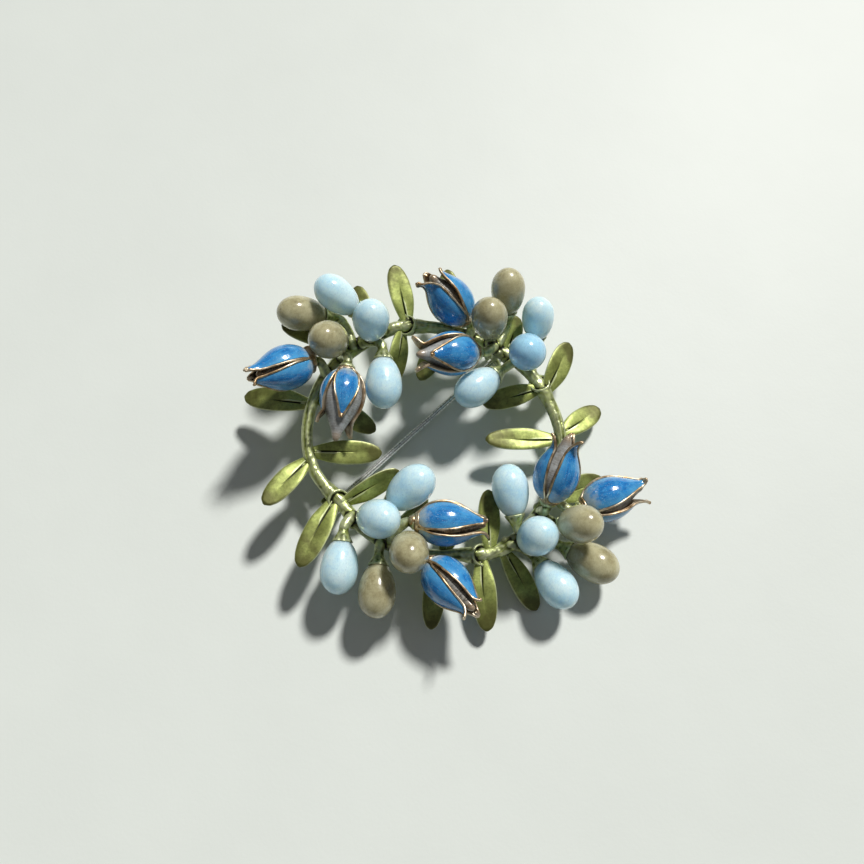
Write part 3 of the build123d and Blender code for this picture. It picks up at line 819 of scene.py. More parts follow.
def add_knuckle(clay, hub, seed):
    """The knobbly lump of cast metal where the twigs of a spray branch off."""
    for number in range(KNUCKLE_LUMPS):
        turn = number * 2.4 + seed
        bearing = hub + KNUCKLE_SPREAD * ((number * 0.618 + seed * 0.37) % 1 - 0.5)
        spot = ring_points(bearing, 0.15 + 0.65 * math.sin(turn), 0.72 * math.cos(turn))[0]
        # the value -0.45 darkens the lumps with patina and painted shade
        clay.ball(spot, LUMP_RADIUS + 0.16 * math.sin(number * 1.7 + seed), 0, 10, -0.45)


def add_catch(clay):
    """The hook of the pin and its post, under the stem."""
    rim = CATCH_RADIUS
    hook = loop_about_x(PIN_REACH, rim, rim, np.radians(np.linspace(*CATCH_SPAN, 40)))
    pin = Matrix.Rotation(PIN_HEADING, 4, "Z") @ Matrix.Translation((0, PIN_OFFSET, -PIN_DROP))
    clay.tube(moved(pin, hook), CATCH_WIRE / 2, 14, 0.1, domed=True)
    post = [[PIN_REACH, 0, rim], [PIN_REACH, 0, (rim + PIN_DROP) / 2], [PIN_REACH, 0, PIN_DROP]]
    clay.tube(moved(pin, post), np.array([0.46, 0.56, 0.80]), 14, 0.1)


class BROOCH_OT_sprays(bpy.types.Operator):
    """Cast each spray: its stem, collar, leaves, twigs and cups in one piece of green-gold metal"""

    bl_idname = "brooch.sprays"
    bl_label = "Cast Sprays"

    def execute(self, context):
        sizes, buds, finishes, _ = settings()
        metal = green_gold_metal(finishes)
        grain = sizes.grain / MM * 1
        for number, (name, first, last, hub) in enumerate(SPRAYS):
            clay, leaves = Clay(), Clay()
            add_stem(clay, sizes, first, last)
            for row, (bearing, turn, lift, roll, droop, long, wide) in enumerate(LEAVES):
                if (bearing - first) % 360 < last - first:
                    length, width = sizes.leaf_length / MM * long, sizes.leaf_width / MM * wide
                    thickness, slit = sizes.leaf_thickness / MM, sizes.slit_depth / MM
                    sway = 0.10 * math.sin(row * 2.4)
                    rings, reach, dips = leaf_rings(length, width, thickness, droop, slit, sway)
                    place = aimed(ring_points(bearing)[0], bearing + turn, lift, roll)
                    leaves.skin(moved(place, rings), 0.35 + 0.65 * reach, dip=dips)
                    add_leaf_root(clay, place)
            for row, (spray, _, along, outward, up, turn, lift, lean) in enumerate(BEADS):
                if spray == name:
                    place = seat(hub, sizes.bead_step / MM, along, outward, up, turn, lift)
                    clay.turned(place, CUP_PROFILE, 40, 0.1, flutes=9, flute_depth=0.05)
                    add_twig(clay, place, hub, lean, CUP_BACK, sizes.twig / MM, row)
            for row, (spray, along, outward, up, turn, lift, _, lean) in enumerate(BUDS):
                if spray == name:
                    place = seat(hub, buds.step / MM, along, outward, up, turn, lift)
                    clay.turned(place, CALYX_PROFILE[:4], 30, 0.1, flutes=7, flute_depth=0.05)
                    add_twig(clay, place, hub, lean, STALK_BACK, sizes.stalk / MM, row + 40)
            add_knuckle(clay, hub, number)
            if name == "north":
                add_catch(clay)
            stems = cast_together(f"stems_{name}", clay, grain, sizes.roughness / MM, number * 5 + 3)
            blades = mesh_of(f"blades_{name}", leaves)
            piece = soldered(f"spray_{name}", [stems, blades.data], metal)
            drop(blades)
            bpy.data.meshes.remove(stems)
            placed(piece, "green_gold_metal", "wreath_frame")
        return {"FINISHED"}


class BROOCH_OT_hinge(bpy.types.Operator):
    """Build the forked block that the pin's rivet goes through"""

    bl_idname = "brooch.hinge"
    bl_label = "Build Hinge Fork"

    def execute(self, context):
        clay = Clay()
        angle = around(HINGE_SIDES)
        pin = Matrix.Rotation(PIN_HEADING, 4, "Z") @ Matrix.Translation((-PIN_REACH, PIN_OFFSET, -PIN_DROP))
        top = PIN_DROP - BLOCK_SINK
        rise, run = np.maximum(np.sin(angle), 0.01), np.maximum(abs(np.cos(angle)), 0.01)
        square = np.minimum(top / rise, BLOCK_HALF_LENGTH / run)
        side = np.maximum(np.where(np.sin(angle) > 0.35, square, EAR_RADIUS), EAR_RADIUS)
        for way in (-1, 1):
            inner, outer = way * EAR_SLOT / 2, way * (EAR_SLOT / 2 + EAR_THICKNESS)
            bevel = EAR_BEVEL * way
            section = [
                (RIVET_HOLE, inner), (RIVET_HOLE, outer), (side - EAR_BEVEL, outer),
                (side, outer - bevel), (side, inner + bevel), (side - EAR_BEVEL, inner),
            ]
            rings = [
                np.stack([reach * np.cos(angle), np.full(HINGE_SIDES, y), reach * np.sin(angle)], axis=1)
                for reach, y in section
            ]
            clay.skin(moved(pin, rings), 0.1, looped=True)
        bridge = []
        corner = np.abs(np.cos(angle)) ** 8 + np.abs(np.sin(angle)) ** 8
        round_off = corner ** (-1 / 8)
        half_y = EAR_SLOT / 2 + EAR_THICKNESS - 0.02
        for z in np.linspace(BLOCK_FOOT, top, 8):
            half_x = BLOCK_HALF_LENGTH - 0.03 - 0.05 * math.sin(z * 3)
            x, y = half_x * round_off * np.cos(angle), half_y * round_off * np.sin(angle)
            bridge.append(np.stack([x, y, np.full(HINGE_SIDES, z)], axis=1))
        clay.skin(moved(pin, bridge), 0.1)
        piece = mesh_of("hinge_fork", clay, [bpy.data.materials["green_gold"]])
        placed(piece, "green_gold_metal", "wreath_frame")
        return {"FINISHED"}


def petal_point(sizes, reach, spread, rise, form):
    """Points on one petal: reach along it, spread across it from -1 to 1, rise off its outside.

    A petal's form is its width and reach, how far its tip flares and where the flare starts.
    """
    full, cut, flare, start = form
    length, radius = sizes.length / MM, sizes.width / MM / 2
    y = spread * eased(PETAL_OUTLINE, reach) * radius * full
    tip = np.clip((reach - start) / (PETAL_END - start), 0, 1)
    lean = (flare - eased(PETAL_PROFILE, PETAL_END * cut)) * tip**2 * (3 - 2 * tip)
    out = (eased(PETAL_PROFILE, reach * cut) + lean) * radius
    z = np.sqrt(np.maximum(out**2 - y**2, 0.01))
    level = np.sqrt(y**2 + z**2)
    return np.stack([reach * cut * length, y * (1 + rise / level), z * (1 + rise / level)], axis=-1)


def about_x(degrees):
    """A turn about a bud's own axis."""
    return Matrix.Rotation(math.radians(degrees), 4, "X")


def petal_sheet(sizes, reach, spread, outer, inner, form):
    """A closed sheet over part of a petal, as rings of outer and inner points."""
    rings = []
    for at, tops, depth in zip(reach, outer, inner):
        front = petal_point(sizes, np.full(len(spread), at), spread, tops, form)
        back = petal_point(sizes, np.full(len(spread), at), spread[::-1], np.full(len(spread), depth), form)
        rings.append(np.concatenate([front, back]))
    return np.array(rings)


def bud_metal(sizes, number):
    """The core, knob, petal shells and rim wires of one bud, along X."""
    clay = Clay()
    thick_core, long_core, knob, _ = BUD_LOOKS[number - 1]
    wire = sizes.wire / MM / 2
    radius = sizes.width / MM / 2
    length = sizes.length / MM
    reach = np.linspace(CORE_PROFILE[0][0], CORE_PROFILE[-1][0], 60)
    core = [(at * length * long_core, eased(CORE_PROFILE, at) * radius * thick_core) for at in reach]
    clay.turned(Matrix(), core, 72, reach[:, None], CORE, flutes=CORE_FLUTES, flute_depth=0.016)
    knobbed = [(x * knob, y * knob) for x, y in CALYX_PROFILE[3:]]
    clay.turned(Matrix(), knobbed, 40, 0.0, KNOB, flutes=9, flute_depth=0.04)
    clay.ball((1.6 * knob - 1.9, 0, 3.0 * knob - 2.9), 0.62 * knob**1.8, KNOB, 18)
    shell_reach = np.linspace(SHELL_START, SHELL_END, SHELL_SECTIONS)
    spread = np.linspace(-0.96, 0.96, SHELL_ACROSS)
    outer = np.full((SHELL_SECTIONS, SHELL_ACROSS), SHELL_TOP)
    thin = np.interp(shell_reach, [0.0, 0.75, 0.94], [1.0, 1.0, 0.45])
    for petal, (_, angle, *form) in enumerate(row for row in PETALS if row[0] == number):
        turn = about_x(angle)
        sheet = petal_sheet(sizes, shell_reach, spread, outer, -sizes.shell / MM * thin, form)
        clay.skin(moved(turn, sheet), 0.3, SHELL)
        steps = 1 - (1 - np.linspace(0, 1, RIM_SECTIONS)) ** 1.3
        reach = SHELL_START + steps * (PETAL_END - SHELL_START)
        half = eased(PETAL_OUTLINE, reach) * radius * form[0]
        inset = np.clip(1 - wire * RIM_INSET / half, 0.05, 1)
        for way in (-1, 1):
            row = np.full_like(reach, way * 3 + petal * 9)
            drift = mottle(np.stack([reach * 14, row, np.full_like(reach, number)], axis=1), 1, 5)
            side = way * inset * (1 + RIM_WAVER * drift)
            line = petal_point(sizes, reach, side, -wire * 0.3 + RIM_WAVER * drift, form)
            swell = np.interp(reach, [0.03, 0.15, 0.8, 0.93], [1.25, 1.0, 1.0, 1.2])
            thick = wire * (1 + 0.07 * drift) * swell
            clay.tube(moved(turn, line), thick, 12, reach, RIM, domed=True)
        ends = np.linspace(PETAL_END - LIP_LENGTH, PETAL_END, 8)
        lip = petal_point(sizes, ends, np.zeros(8), np.linspace(-wire, wire * 0.4, 8), form)
        clay.tube(moved(turn, lip), np.linspace(wire * 1.6, wire * 1.35, 8), 12, 1.0, RIM, domed=True)
        across = np.linspace(-1, 1, 16) * 0.98
        foot = petal_point(sizes, np.full(16, 0.05), across, -wire * 0.2, form)
        clay.tube(moved(turn, foot), wire * 1.1, 10, 0.0, RIM, domed=True)
    return clay


def bud_glaze(sizes, number):
    """The enamel of one bud's three petals, along X, with each point's place along and across its petal."""
    clay = Clay()
    wire = sizes.wire / MM
    radius = sizes.width / MM / 2
    sink, dome = sizes.sink / MM, sizes.dome / MM
    reach = np.concatenate([[0.058], np.linspace(0.07, 0.90, 40)])
    spread = np.sin(np.linspace(-math.pi / 2, math.pi / 2, GLAZE_ACROSS))
    across = np.concatenate([spread, spread[::-1]])[None, :]
    for _, angle, *form in (row for row in PETALS if row[0] == number):
        half = eased(PETAL_OUTLINE, reach) * radius * form[0]
        rings = []
        for at, wide in zip(reach, half):
            edge = max(0.06, 1 - wire * RIM_INSET / wide)
            lens = 1 - np.abs(spread) ** 2.2
            swell = dome * lens * min(1, wide / 0.9) - sink
            here, behind = np.full(GLAZE_ACROSS, at), np.full(GLAZE_ACROSS, GLAZE_BACK)
            front = petal_point(sizes, here, spread * edge, swell, form)
            back = petal_point(sizes, here, spread[::-1] * edge, behind, form)
            rings.append(np.concatenate([front, back]))
        clay.skin(moved(about_x(angle), rings), reach[:, None], dip=across)
    return clay


class BROOCH_OT_buds(bpy.types.Operator):
    """Build the eight buds: ribbed core, hooked petals with wire rims, and their enamel"""

    bl_idname = "brooch.buds"
    bl_label = "Build Buds"

    def execute(self, context):
        _, sizes, finishes, _ = settings()
        rim = copper_gold_metal(finishes, "copper_gold", 1.0)
        shell = copper_gold_metal(finishes, "aged_copper", 0.45)
        cores = [core_metal(finishes, row) for row in range(len(BUDS))]
        glaze = blue_enamel(finishes)
        for number, (spray, along, outward, up, turn, lift, spin, _) in enumerate(BUDS, start=1):
            place = seat(HUBS[spray], sizes.step / MM, along, outward, up, turn, lift, spin)
            coats = [cores[number - 1], rim, shell, rim]
            metal = mesh_of(f"bud_petals_{number}", bud_metal(sizes, number), coats)
            enamel = mesh_of(f"bud_glaze_{number}", bud_glaze(sizes, number), [glaze])
            for piece in (metal, enamel):
                piece.data.transform(place)
            placed(metal, "copper_gold_metal", f"bud_shell_{number}")
            placed(enamel, "blue_enamel", f"bud_enamel_{number}")
        return {"FINISHED"}


class BROOCH_OT_beads(bpy.types.Operator):
    """Give the beads their glass: clouded pale blue and mottled taupe"""

    bl_idname = "brooch.beads"
    bl_label = "Finish Beads"

    def execute(self, context):
        sizes, _, finishes, _ = settings()
        tones = {
            "blue": (finishes.pale_blue, finishes.deep_blue),
            "taupe": (finishes.taupe, finishes.taupe_cloud),
        }
        made = {"blue": 0, "taupe": 0}
        for number, (spray, tone, along, outward, up, turn, lift, _) in enumerate(BEADS):
            made[tone] += 1
            place = REST @ seat(HUBS[spray], sizes.bead_step / MM, along, outward, up, turn, lift)
            light, shade = tones[tone]
            if number == VIVID_BEAD:
                light, shade = finishes.vivid_blue, dimmed(finishes.vivid_blue, 0.8)
            name = f"bead_{tone}_{made[tone]}"
            glass = bead_glass(f"{name}_glass", place.translation, light, shade, number)
            recoat(frame["nodes"][name], glass)
        return {"FINISHED"}


class BROOCH_OT_pin(bpy.types.Operator):
    """Give the pin and its rivet their steel, with painted reflection lines along it"""

    bl_idname = "brooch.pin"
    bl_label = "Finish Pin"

    def execute(self, context):
        steel = steel_with_painted_reflections(settings()[2])
        for name in ("pin_stem", "hinge_rivet"):
            recoat(frame["nodes"][name], steel)
        return {"FINISHED"}


def recoat(node, material):
    """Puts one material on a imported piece."""
    for slot in node.material_slots:
        slot.material = material
    if not node.material_slots:
        node.data.materials.append(material)


def dimmed(tone, by):
    """A colour at a share of its brightness."""
    return tuple(c * by for c in tone)


class Finish:
    """A material under construction: its nodes, its links and its surface shader."""

    def __init__(self, name):
        self.material = bpy.data.materials.new(name)
        self.material.use_nodes = True
        self.tree = self.material.node_tree
        self.shader = self.tree.nodes["Principled BSDF"]
        self.place = self.node("ShaderNodeTexCoord").outputs["Object"]

    def node(self, kind, **values):
        """A new node with some of its options set."""
        made = self.tree.nodes.new(kind)
        for key, value in values.items():
            setattr(made, key, value)
        return made

    def link(self, source, target):
        """Joins two sockets."""
        self.tree.links.new(source, target)

    def noise(self, size_mm, detail=3.0, roughness=0.55, stretch=(1, 1, 1), shift=0.0):
        """Noise whose patches are about size_mm across, stretched or shifted."""
        made = self.node("ShaderNodeTexNoise")
        made.inputs["Scale"].default_value = 1 / (size_mm * MM)
        made.inputs["Detail"].default_value = detail
        made.inputs["Roughness"].default_value = roughness
        mapping = self.node("ShaderNodeMapping", vector_type="TEXTURE")
        mapping.inputs["Location"].default_value = (shift, shift, shift)
        mapping.inputs["Scale"].default_value = [1 / s for s in stretch]
        self.link(self.place, mapping.inputs["Vector"])
        self.link(mapping.outputs["Vector"], made.inputs["Vector"])
        return made.outputs["Fac"]

    def drift(self, size_mm, detail, low, high, roughness=0.55, shift=0.0):
        """A value that wanders between low and high, in patches about size_mm across."""
        return self.remap(self.noise(size_mm, detail, roughness, shift=shift), 0.3, 0.7, low, high)

    def ring_lines(self, width_mm, length_mm):
        """Noise drawn out into lines that follow the ring of stems."""
        centred = self.node("ShaderNodeVectorMath", operation="SUBTRACT")
        self.link(self.place, centred.inputs[0])
        centred.inputs[1].default_value = REST.translation
        split = self.node("ShaderNodeSeparateXYZ")
        self.link(centred.outputs["Vector"], split.inputs["Vector"])
        flat = self.node("ShaderNodeCombineXYZ")
        for axis in "XY":
            self.link(split.outputs[axis], flat.inputs[axis])
        reach = self.node("ShaderNodeVectorMath", operation="LENGTH")
        self.link(flat.outputs["Vector"], reach.inputs[0])
        drawn = self.node("ShaderNodeCombineXYZ")
        for axis, size_mm in (("X", length_mm), ("Y", length_mm), ("Z", width_mm)):
            self.link(self.math("DIVIDE", split.outputs[axis], size_mm * MM), drawn.inputs[axis])
        made = self.node("ShaderNodeTexNoise", noise_dimensions="4D")
        made.inputs["Scale"].default_value = 1
        made.inputs["Detail"].default_value = 3
        self.link(drawn.outputs["Vector"], made.inputs["Vector"])
        self.link(self.math("DIVIDE", reach.outputs["Value"], width_mm * MM), made.inputs["W"])
        return made.outputs["Fac"]

    def attribute(self, name):
        """One of the two values kept for each point of a mesh."""
        return self.node("ShaderNodeAttribute", attribute_name=name).outputs["Fac"]

    def remap(self, value, low, high, to_low=0.0, to_high=1.0):
        """A value between low and high stretched to another span, and held at its ends."""
        made = self.node("ShaderNodeMapRange")
        self.link(value, made.inputs["Value"])
        made.inputs["From Min"].default_value = low
        made.inputs["From Max"].default_value = high
        made.inputs["To Min"].default_value = to_low
        made.inputs["To Max"].default_value = to_high
        return made.outputs["Result"]

    def math(self, operation, a, b):
        """A sum, product and the like of two values, each a socket or a number."""
        made = self.node("ShaderNodeMath", operation=operation)
        for socket, value in zip(made.inputs, (a, b)):
            if isinstance(value, (int, float)):
                socket.default_value = value
            else:
                self.link(value, socket)
        return made.outputs["Value"]

    def mix(self, factor, a, b):
        """The colour a, going over to b as the factor rises."""
        made = self.node("ShaderNodeMix", data_type="RGBA")
        for socket, value in zip((made.inputs[0], made.inputs[6], made.inputs[7]), (factor, a, b)):
            if isinstance(value, (int, float)):
                socket.default_value = value
            elif isinstance(value, bpy.types.NodeSocket):
                self.link(value, socket)
            else:
                socket.default_value = (*value, 1)
        return made.outputs[2]

    def bump(self, *heights):
        """Bumps laid over each other: pairs of a height and its depth in millimetres."""
        normal = None
        for height, depth in heights:
            made = self.node("ShaderNodeBump")
            made.inputs["Strength"].default_value = 1
            made.inputs["Distance"].default_value = depth * MM
            self.link(height, made.inputs["Height"])
            if normal:
                self.link(normal, made.inputs["Normal"])
            normal = made.outputs["Normal"]
        self.link(normal, self.shader.inputs["Normal"])

    def coat(self, body, roughness):
        """Gives the shader its colour and its roughness."""
        self.link(body, self.shader.inputs["Base Color"])
        self.link(roughness, self.shader.inputs["Roughness"])

    def set(self, **values):
        """Gives the shader values that are the same all over."""
        for key, value in values.items():
            self.shader.inputs[key.replace("_", " ")].default_value = value


def green_gold_metal(finishes):
    """Satin green-gold lacquer over cast metal, lined along the stems, with patina and painted shade in
    crevices and dark leaf tips.
    """
    finish = Finish("green_gold")
    hollow, blade = finish.attribute("hollow"), finish.attribute("blade")
    leafy = finish.remap(blade, 0.25, 0.4)
    lines = finish.ring_lines(0.34, 3.0)
    cloud = finish.remap(finish.noise(1.5, 4, 0.6), 0.36, 0.64)
    body = finish.mix(cloud, finishes.moss, finishes.green_gold)
    body = finish.mix(finish.remap(lines, 0.44, 0.34, 0.0, 0.7), body, finishes.green_gold)
    body = finish.mix(finish.remap(lines, 0.50, 0.58, 0.0, 0.75), body, dimmed(finishes.moss, 0.5))
    patch = finish.remap(finish.noise(3.2, 3), 0.38, 0.66)
    satin = finish.mix(patch, finishes.leaf, finishes.green_gold)
    grain = finish.remap(finish.noise(0.35, 4, 0.75), 0.46, 0.64, 0.0, 0.55)
    satin = finish.mix(grain, satin, finishes.moss)
    body = finish.mix(finish.math("MULTIPLY", leafy, 0.9), body, satin)
    uneven = finish.drift(2.0, 3, -0.16, 0.16)
    tip = finish.remap(finish.math("ADD", blade, uneven), 0.62, 0.96, 0.0, 0.85)
    body = finish.mix(tip, body, finishes.olive)
    # pale edges: partly rubbed wear, partly painted highlight on lit edges and the ledges beside the leaves'
    # slits
    worn_and_painted_highlight = finish.remap(hollow, -0.05, -0.5, 0.0, 0.55)
    body = finish.mix(worn_and_painted_highlight, body, finishes.worn_and_painted_highlight)
    # patina and painted shade: crevices, the leaves' slits, the joints' lumps, the scoops' insides and the
    # stems' starts go almost black
    patina_and_painted_shade = finish.math("MAXIMUM", finish.remap(hollow, 0.02, 0.34), finish.remap(blade, -0.1, -0.7))
    body = finish.mix(patina_and_painted_shade, body, finishes.crevice)
    rough = finish.drift(0.5, 3, 0.27, 0.40)
    finish.coat(body, finish.math("ADD", rough, finish.math("MULTIPLY", leafy, 0.14)))
    finish.set(Metallic=0.55, IOR=1.5, Coat_Weight=0.25, Coat_Roughness=0.36)
    ridged = finish.math("MULTIPLY", lines, finish.remap(blade, 0.32, 0.2))
    finish.bump((finish.noise(0.12, 2, 0.6), 0.008), (finish.noise(0.5, 3), 0.02), (ridged, 0.06))
    return finish.material


def bead_glass(name, base, light, shade, seed):
    """Opaque pressed glass with soft clouds, fine streaks and a few specks, duller at its cup."""
    finish = Finish(name)
    shift = seed * 1.7
    cloud = finish.remap(finish.noise(2.4, 4, 0.6, shift=shift), 0.38, 0.66)
    body = finish.mix(cloud, light, shade)
    streak = finish.remap(finish.noise(0.55, 4, 0.7, (1, 1, 2.6), shift), 0.42, 0.62, 0.0, 0.32)
    body = finish.mix(streak, body, tuple(min(1, c * 1.16) for c in light))
    brush = finish.remap(finish.noise(0.3, 3, 0.7, (2.4, 1, 1), shift), 0.50, 0.68, 0.0, 0.34)
    body = finish.mix(brush, body, dimmed(shade, 0.7))
    reach = finish.node("ShaderNodeVectorMath", operation="DISTANCE")
    finish.link(finish.place, reach.inputs[0])
    reach.inputs[1].default_value = base
    uneven = finish.drift(0.9, 3, -0.0006, 0.0006, 0.6, shift)
    near = finish.remap(finish.math("ADD", reach.outputs["Value"], uneven), 0.0028, 0.0012, 0.0, 0.5)
    dull = tuple(c * 0.62 + d * 0.12 for c, d in zip(light, (1.0, 0.95, 0.6)))
    body = finish.mix(near, body, dull)
    speck = finish.remap(finish.noise(0.22, 2, 0.5, shift=shift), 0.69, 0.75, 0.0, 0.4)
    body = finish.mix(speck, body, dimmed(shade, 0.5))
    finish.coat(body, finish.drift(1.1, 2, 0.16, 0.28))
    finish.set(IOR=1.52, Coat_Weight=0.5, Coat_Roughness=0.07)
    finish.set(Subsurface_Weight=0.7, Subsurface_Scale=0.0028)
    finish.shader.inputs["Subsurface Radius"].default_value = (1, 1, 1)
    finish.bump((finish.noise(0.9, 2), 0.016), (finish.noise(0.2, 3), 0.003))
    return finish.material


def blue_enamel(finishes):
    """Fired enamel laid in long strokes: deep in a petal's middle, thin at its edge, greyish at its foot."""
    finish = Finish("blue_enamel_glass")
    along, across = finish.attribute("blade"), finish.attribute("hollow")
    strokes = finish.node("ShaderNodeCombineXYZ")
    finish.link(finish.math("MULTIPLY", across, 9.0), strokes.inputs["X"])
    finish.link(finish.math("MULTIPLY", along, 4.0), strokes.inputs["Y"])
    finish.link(finish.drift(4.0, 1, 0.0, 6.0), strokes.inputs["Z"])
    stroke = finish.node("ShaderNodeTexNoise")
    stroke.inputs["Scale"].default_value = 1.0
    stroke.inputs["Detail"].default_value = 4.0
    finish.link(strokes.outputs["Vector"], stroke.inputs["Vector"])
    deep = finish.remap(stroke.outputs["Fac"], 0.34, 0.64)
    body = finish.mix(deep, finishes.enamel_deep, finishes.enamel)
    wash = finish.remap(finish.noise(1.5, 3), 0.42, 0.66, 0.0, 0.55)
    body = finish.mix(wash, body, finishes.enamel_light)
    side = finish.math("ABSOLUTE", across, 0.0)
    edge = finish.remap(side, 0.55, 1.0, 0.0, 0.6)
    body = finish.mix(edge, body, finishes.enamel_light)
    uneven = finish.drift(0.8, 3, -0.07, 0.07)
    base = finish.remap(finish.math("ADD", along, uneven), 0.24, 0.08, 0.0, 0.85)
    body = finish.mix(base, body, finishes.enamel_base)
    speck = finish.remap(finish.noise(0.13, 2, 0.5), 0.62, 0.70, 0.0, 0.5)
    body = finish.mix(speck, body, ENAMEL_SPECK)
    finish.coat(body, finish.drift(0.8, 2, 0.10, 0.24))
    finish.set(IOR=1.55, Coat_Weight=0.7, Coat_Roughness=0.05)
    finish.bump((finish.noise(0.7, 2), 0.025), (stroke.outputs["Fac"], 0.02), (finish.noise(0.2, 2), 0.004))
    return finish.material


def copper_gold_metal(finishes, name, brightness):
    """Copper-gold wire and cast petals, darkened where hands don't rub."""
    finish = Finish(name)
    bright = dimmed(finishes.copper, brightness)
    patch = finish.remap(finish.noise(0.9, 3, 0.6), 0.30, 0.58, 0.25, 1.0)
    body = finish.mix(patch, finishes.umber, bright)
    gleam = finish.remap(finish.noise(1.6, 2), 0.40, 0.62, 0.0, 0.8)
    body = finish.mix(gleam, body, dimmed(finishes.pale_gold, brightness))
    finish.coat(body, finish.drift(0.4, 2, 0.30, 0.46))
    finish.set(Metallic=0.9)
    finish.bump((finish.noise(0.4, 2), 0.012), (finish.noise(0.12, 2), 0.003))
    return finish.material


def core_metal(finishes, row):
    """The dark core of one bud, finely ribbed, with glassy lilac-grey patches towards its tip."""
    finish = Finish(f"ribbed_core_{row + 1}")
    glassy = BUD_LOOKS[row][3]
    along = finish.attribute("blade")
    ribs = finish.node("ShaderNodeMath", operation="SINE")
    sway = finish.drift(0.7, 2, 0.0, 2.6)
    count = finish.math("MULTIPLY", along, 2 * math.pi * CORE_RIBS)
    finish.link(finish.math("ADD", count, sway), ribs.inputs[0])
    faint = finish.remap(finish.noise(0.8, 3), 0.35, 0.65)
    line = finish.math("MULTIPLY", finish.remap(ribs.outputs["Value"], 0.8, -0.6), faint)
    patch = finish.remap(finish.noise(0.5, 4, 0.7), 0.40, 0.62)
    body = finish.mix(patch, finishes.core, finishes.core_light)
    spread = finish.remap(along, 0.55 - 0.5 * glassy, 0.85 - 0.5 * glassy, 0.0, 0.5 + 0.5 * glassy)
    blotch = finish.remap(finish.noise(1.0, 3), 0.38, 0.54, glassy * 0.7, 1.0)
    grey = finish.math("MULTIPLY", spread, blotch)
    body = finish.mix(grey, body, finishes.lilac)
    body = finish.mix(finish.math("MULTIPLY", line, 0.65 - 0.35 * glassy), body, finishes.umber)
    smudge = finish.remap(finish.noise(0.7, 4, 0.7, shift=row), 0.48, 0.64, 0.0, 0.6 - 0.25 * glassy)
    body = finish.mix(smudge, body, finishes.core)
    body = finish.mix(finish.remap(along, 0.84, 0.95, 0.0, 0.7), body, dimmed(finishes.copper, 0.6))
    finish.coat(body, finish.drift(0.5, 2, 0.25, 0.5))
    finish.set(Metallic=0.35 - 0.3 * glassy, Coat_Weight=0.4, Coat_Roughness=0.12)
    finish.bump((line, 0.02 - 0.014 * glassy), (finish.noise(0.25, 3), 0.02))
    return finish.material


def steel_with_painted_reflections(finishes):
    """Polished steel wire with painted reflections: dark lines along it, set by which way its faces turn."""
    finish = Finish("steel_with_painted_reflections")
    # painted reflection: dark lines where a face turns a set way about the pin, standing in for reflections
    # on a round wire
    facing = finish.node("ShaderNodeVectorMath", operation="DOT_PRODUCT")
    finish.link(finish.node("ShaderNodeTexCoord").outputs["Normal"], facing.inputs[0])
    facing.inputs[1].default_value = (-math.sin(PIN_HEADING), math.cos(PIN_HEADING), 0)
    wander = finish.drift(2.0, 2, -0.5, 0.5)
    lines = finish.node("ShaderNodeMath", operation="SINE")
    spread = finish.math("MULTIPLY", facing.outputs["Value"], 8.5)
    finish.link(finish.math("ADD", spread, wander), lines.inputs[0])
    drawn = finish.remap(lines.outputs["Value"], 0.25, 0.85, 0.0, 0.9)
    body = finish.mix(drawn, finishes.steel, dimmed(finishes.steel, 0.12))
    tint = finish.remap(finish.noise(2.5, 3), 0.4, 0.65, 0.0, 0.3)
    body = finish.mix(tint, body, dimmed(finishes.steel, 0.6))
    finish.coat(body, finish.drift(0.3, 2, 0.22, 0.36))
    finish.set(Metallic=0.6)
    finish.bump((finish.noise(0.08, 2), 0.001), (finish.noise(0.5, 2), 0.004))
    return finish.material


def floor_stone(stage):
    """The plain pale floor, with the faintest unevenness."""
    finish = Finish("pale_floor")
    tone = finish.remap(finish.noise(18, 3), 0.35, 0.65, 0.0, 0.35)
    pale = finish.mix(tone, stage.floor, dimmed(stage.floor, 0.94))
    finish.link(pale, finish.shader.inputs["Base Color"])
    finish.set(Roughness=0.55)
    finish.bump((finish.noise(0.5, 2), 0.01), (finish.noise(6, 2), 0.03))
    return finish.material


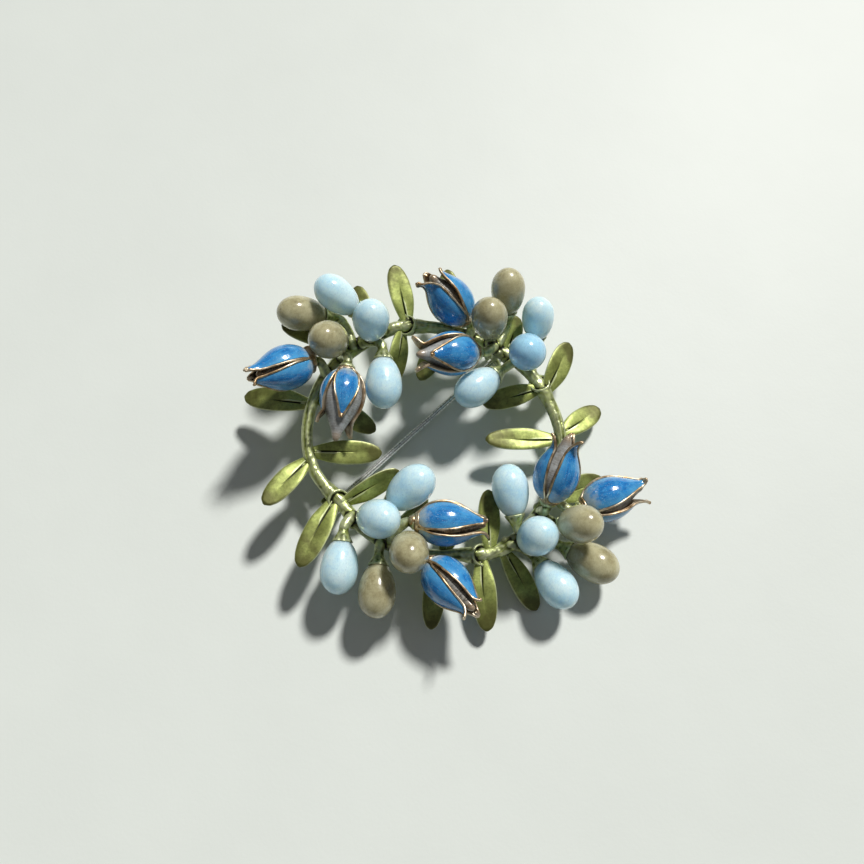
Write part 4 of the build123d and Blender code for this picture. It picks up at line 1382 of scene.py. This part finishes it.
class BROOCH_OT_stage(bpy.types.Operator):
    """Set the pale floor, the key light, the fill and the camera"""

    bl_idname = "brooch.stage"
    bl_label = "Set Stage"

    def execute(self, context):
        stage = settings()[3]
        scene = context.scene
        mesh = bpy.data.meshes.new("floor")
        reach = FLOOR_REACH
        corners = [(-reach, -reach, 0), (reach, -reach, 0), (reach, reach, 0), (-reach, reach, 0)]
        mesh.from_pydata(corners, [], [(0, 1, 2, 3)])
        mesh.materials.append(floor_stone(stage))
        shown("floor", mesh)

        sun = bpy.data.lights.new("key", "SUN")
        sun.energy = stage.sun
        sun.angle = stage.sun_spread
        sun.color = SUNLIGHT
        key = shown("key", sun)
        key.rotation_euler = Vector(stage.sun_way).to_track_quat("-Z", "Y").to_euler()

        world = bpy.data.worlds.new("studio")
        world.use_nodes = True
        nodes, links = world.node_tree.nodes, world.node_tree.links
        backdrop = nodes["Background"]
        place = nodes.new("ShaderNodeTexCoord")
        ramp = nodes.new("ShaderNodeValToRGB")
        split = nodes.new("ShaderNodeSeparateXYZ")
        links.new(place.outputs["Generated"], split.inputs["Vector"])
        links.new(split.outputs["Z"], ramp.inputs["Fac"])
        low, high = ramp.color_ramp.elements
        low.color = ROOM_LOW
        high.color = ROOM_HIGH
        high.position = ROOM_HIGH_AT
        links.new(ramp.outputs["Color"], backdrop.inputs["Color"])
        backdrop.inputs["Strength"].default_value = stage.fill
        scene.world = world

        lens = bpy.data.cameras.new("camera")
        lens.lens = stage.lens
        lens.sensor_width = 36
        lens.clip_start = 0.001
        camera = shown("camera", lens)
        way = Vector((0, -math.cos(stage.elevation), math.sin(stage.elevation)))
        camera.location = Vector(stage.aim) + way * stage.distance
        camera.rotation_euler = (-way).to_track_quat("-Z", "Y").to_euler()
        scene.camera = camera
        scene.view_settings.view_transform = "Standard"
        return {"FINISHED"}


class BROOCH_PT_panel(bpy.types.Panel):
    """Lists the pieces of the brooch and their sizes"""

    bl_idname = "BROOCH_PT_panel"
    bl_label = "Wreath Brooch"
    bl_space_type = "VIEW_3D"
    bl_region_type = "UI"
    bl_category = "Brooch"

    def draw(self, context):
        for operator in OPERATORS:
            self.layout.operator(operator.bl_idname)
        for group in settings():
            box = self.layout.box()
            for name in group.__annotations__:
                box.prop(group, name)


GROUPS = {
    "brooch_sprays": BROOCH_sprays_sizes,
    "brooch_buds": BROOCH_bud_sizes,
    "brooch_finishes": BROOCH_finishes,
    "brooch_stage": BROOCH_stage_settings,
}
OPERATORS = (
    BROOCH_OT_sprays, BROOCH_OT_hinge, BROOCH_OT_buds, BROOCH_OT_beads, BROOCH_OT_pin, BROOCH_OT_stage,
)


def register():
    for made in (*GROUPS.values(), *OPERATORS, BROOCH_PT_panel):
        bpy.utils.register_class(made)
    for name, group in GROUPS.items():
        setattr(bpy.types.Scene, name, bpy.props.PointerProperty(type=group))


def unregister():
    for name in GROUPS:
        delattr(bpy.types.Scene, name)
    for made in reversed((*GROUPS.values(), *OPERATORS, BROOCH_PT_panel)):
        bpy.utils.unregister_class(made)


def main():
    register()
    bpy.ops.brooch.sprays()
    bpy.ops.brooch.hinge()
    bpy.ops.brooch.buds()
    bpy.ops.brooch.beads()
    bpy.ops.brooch.pin()
    bpy.ops.brooch.stage()


if __name__ == "__main__":
    main()
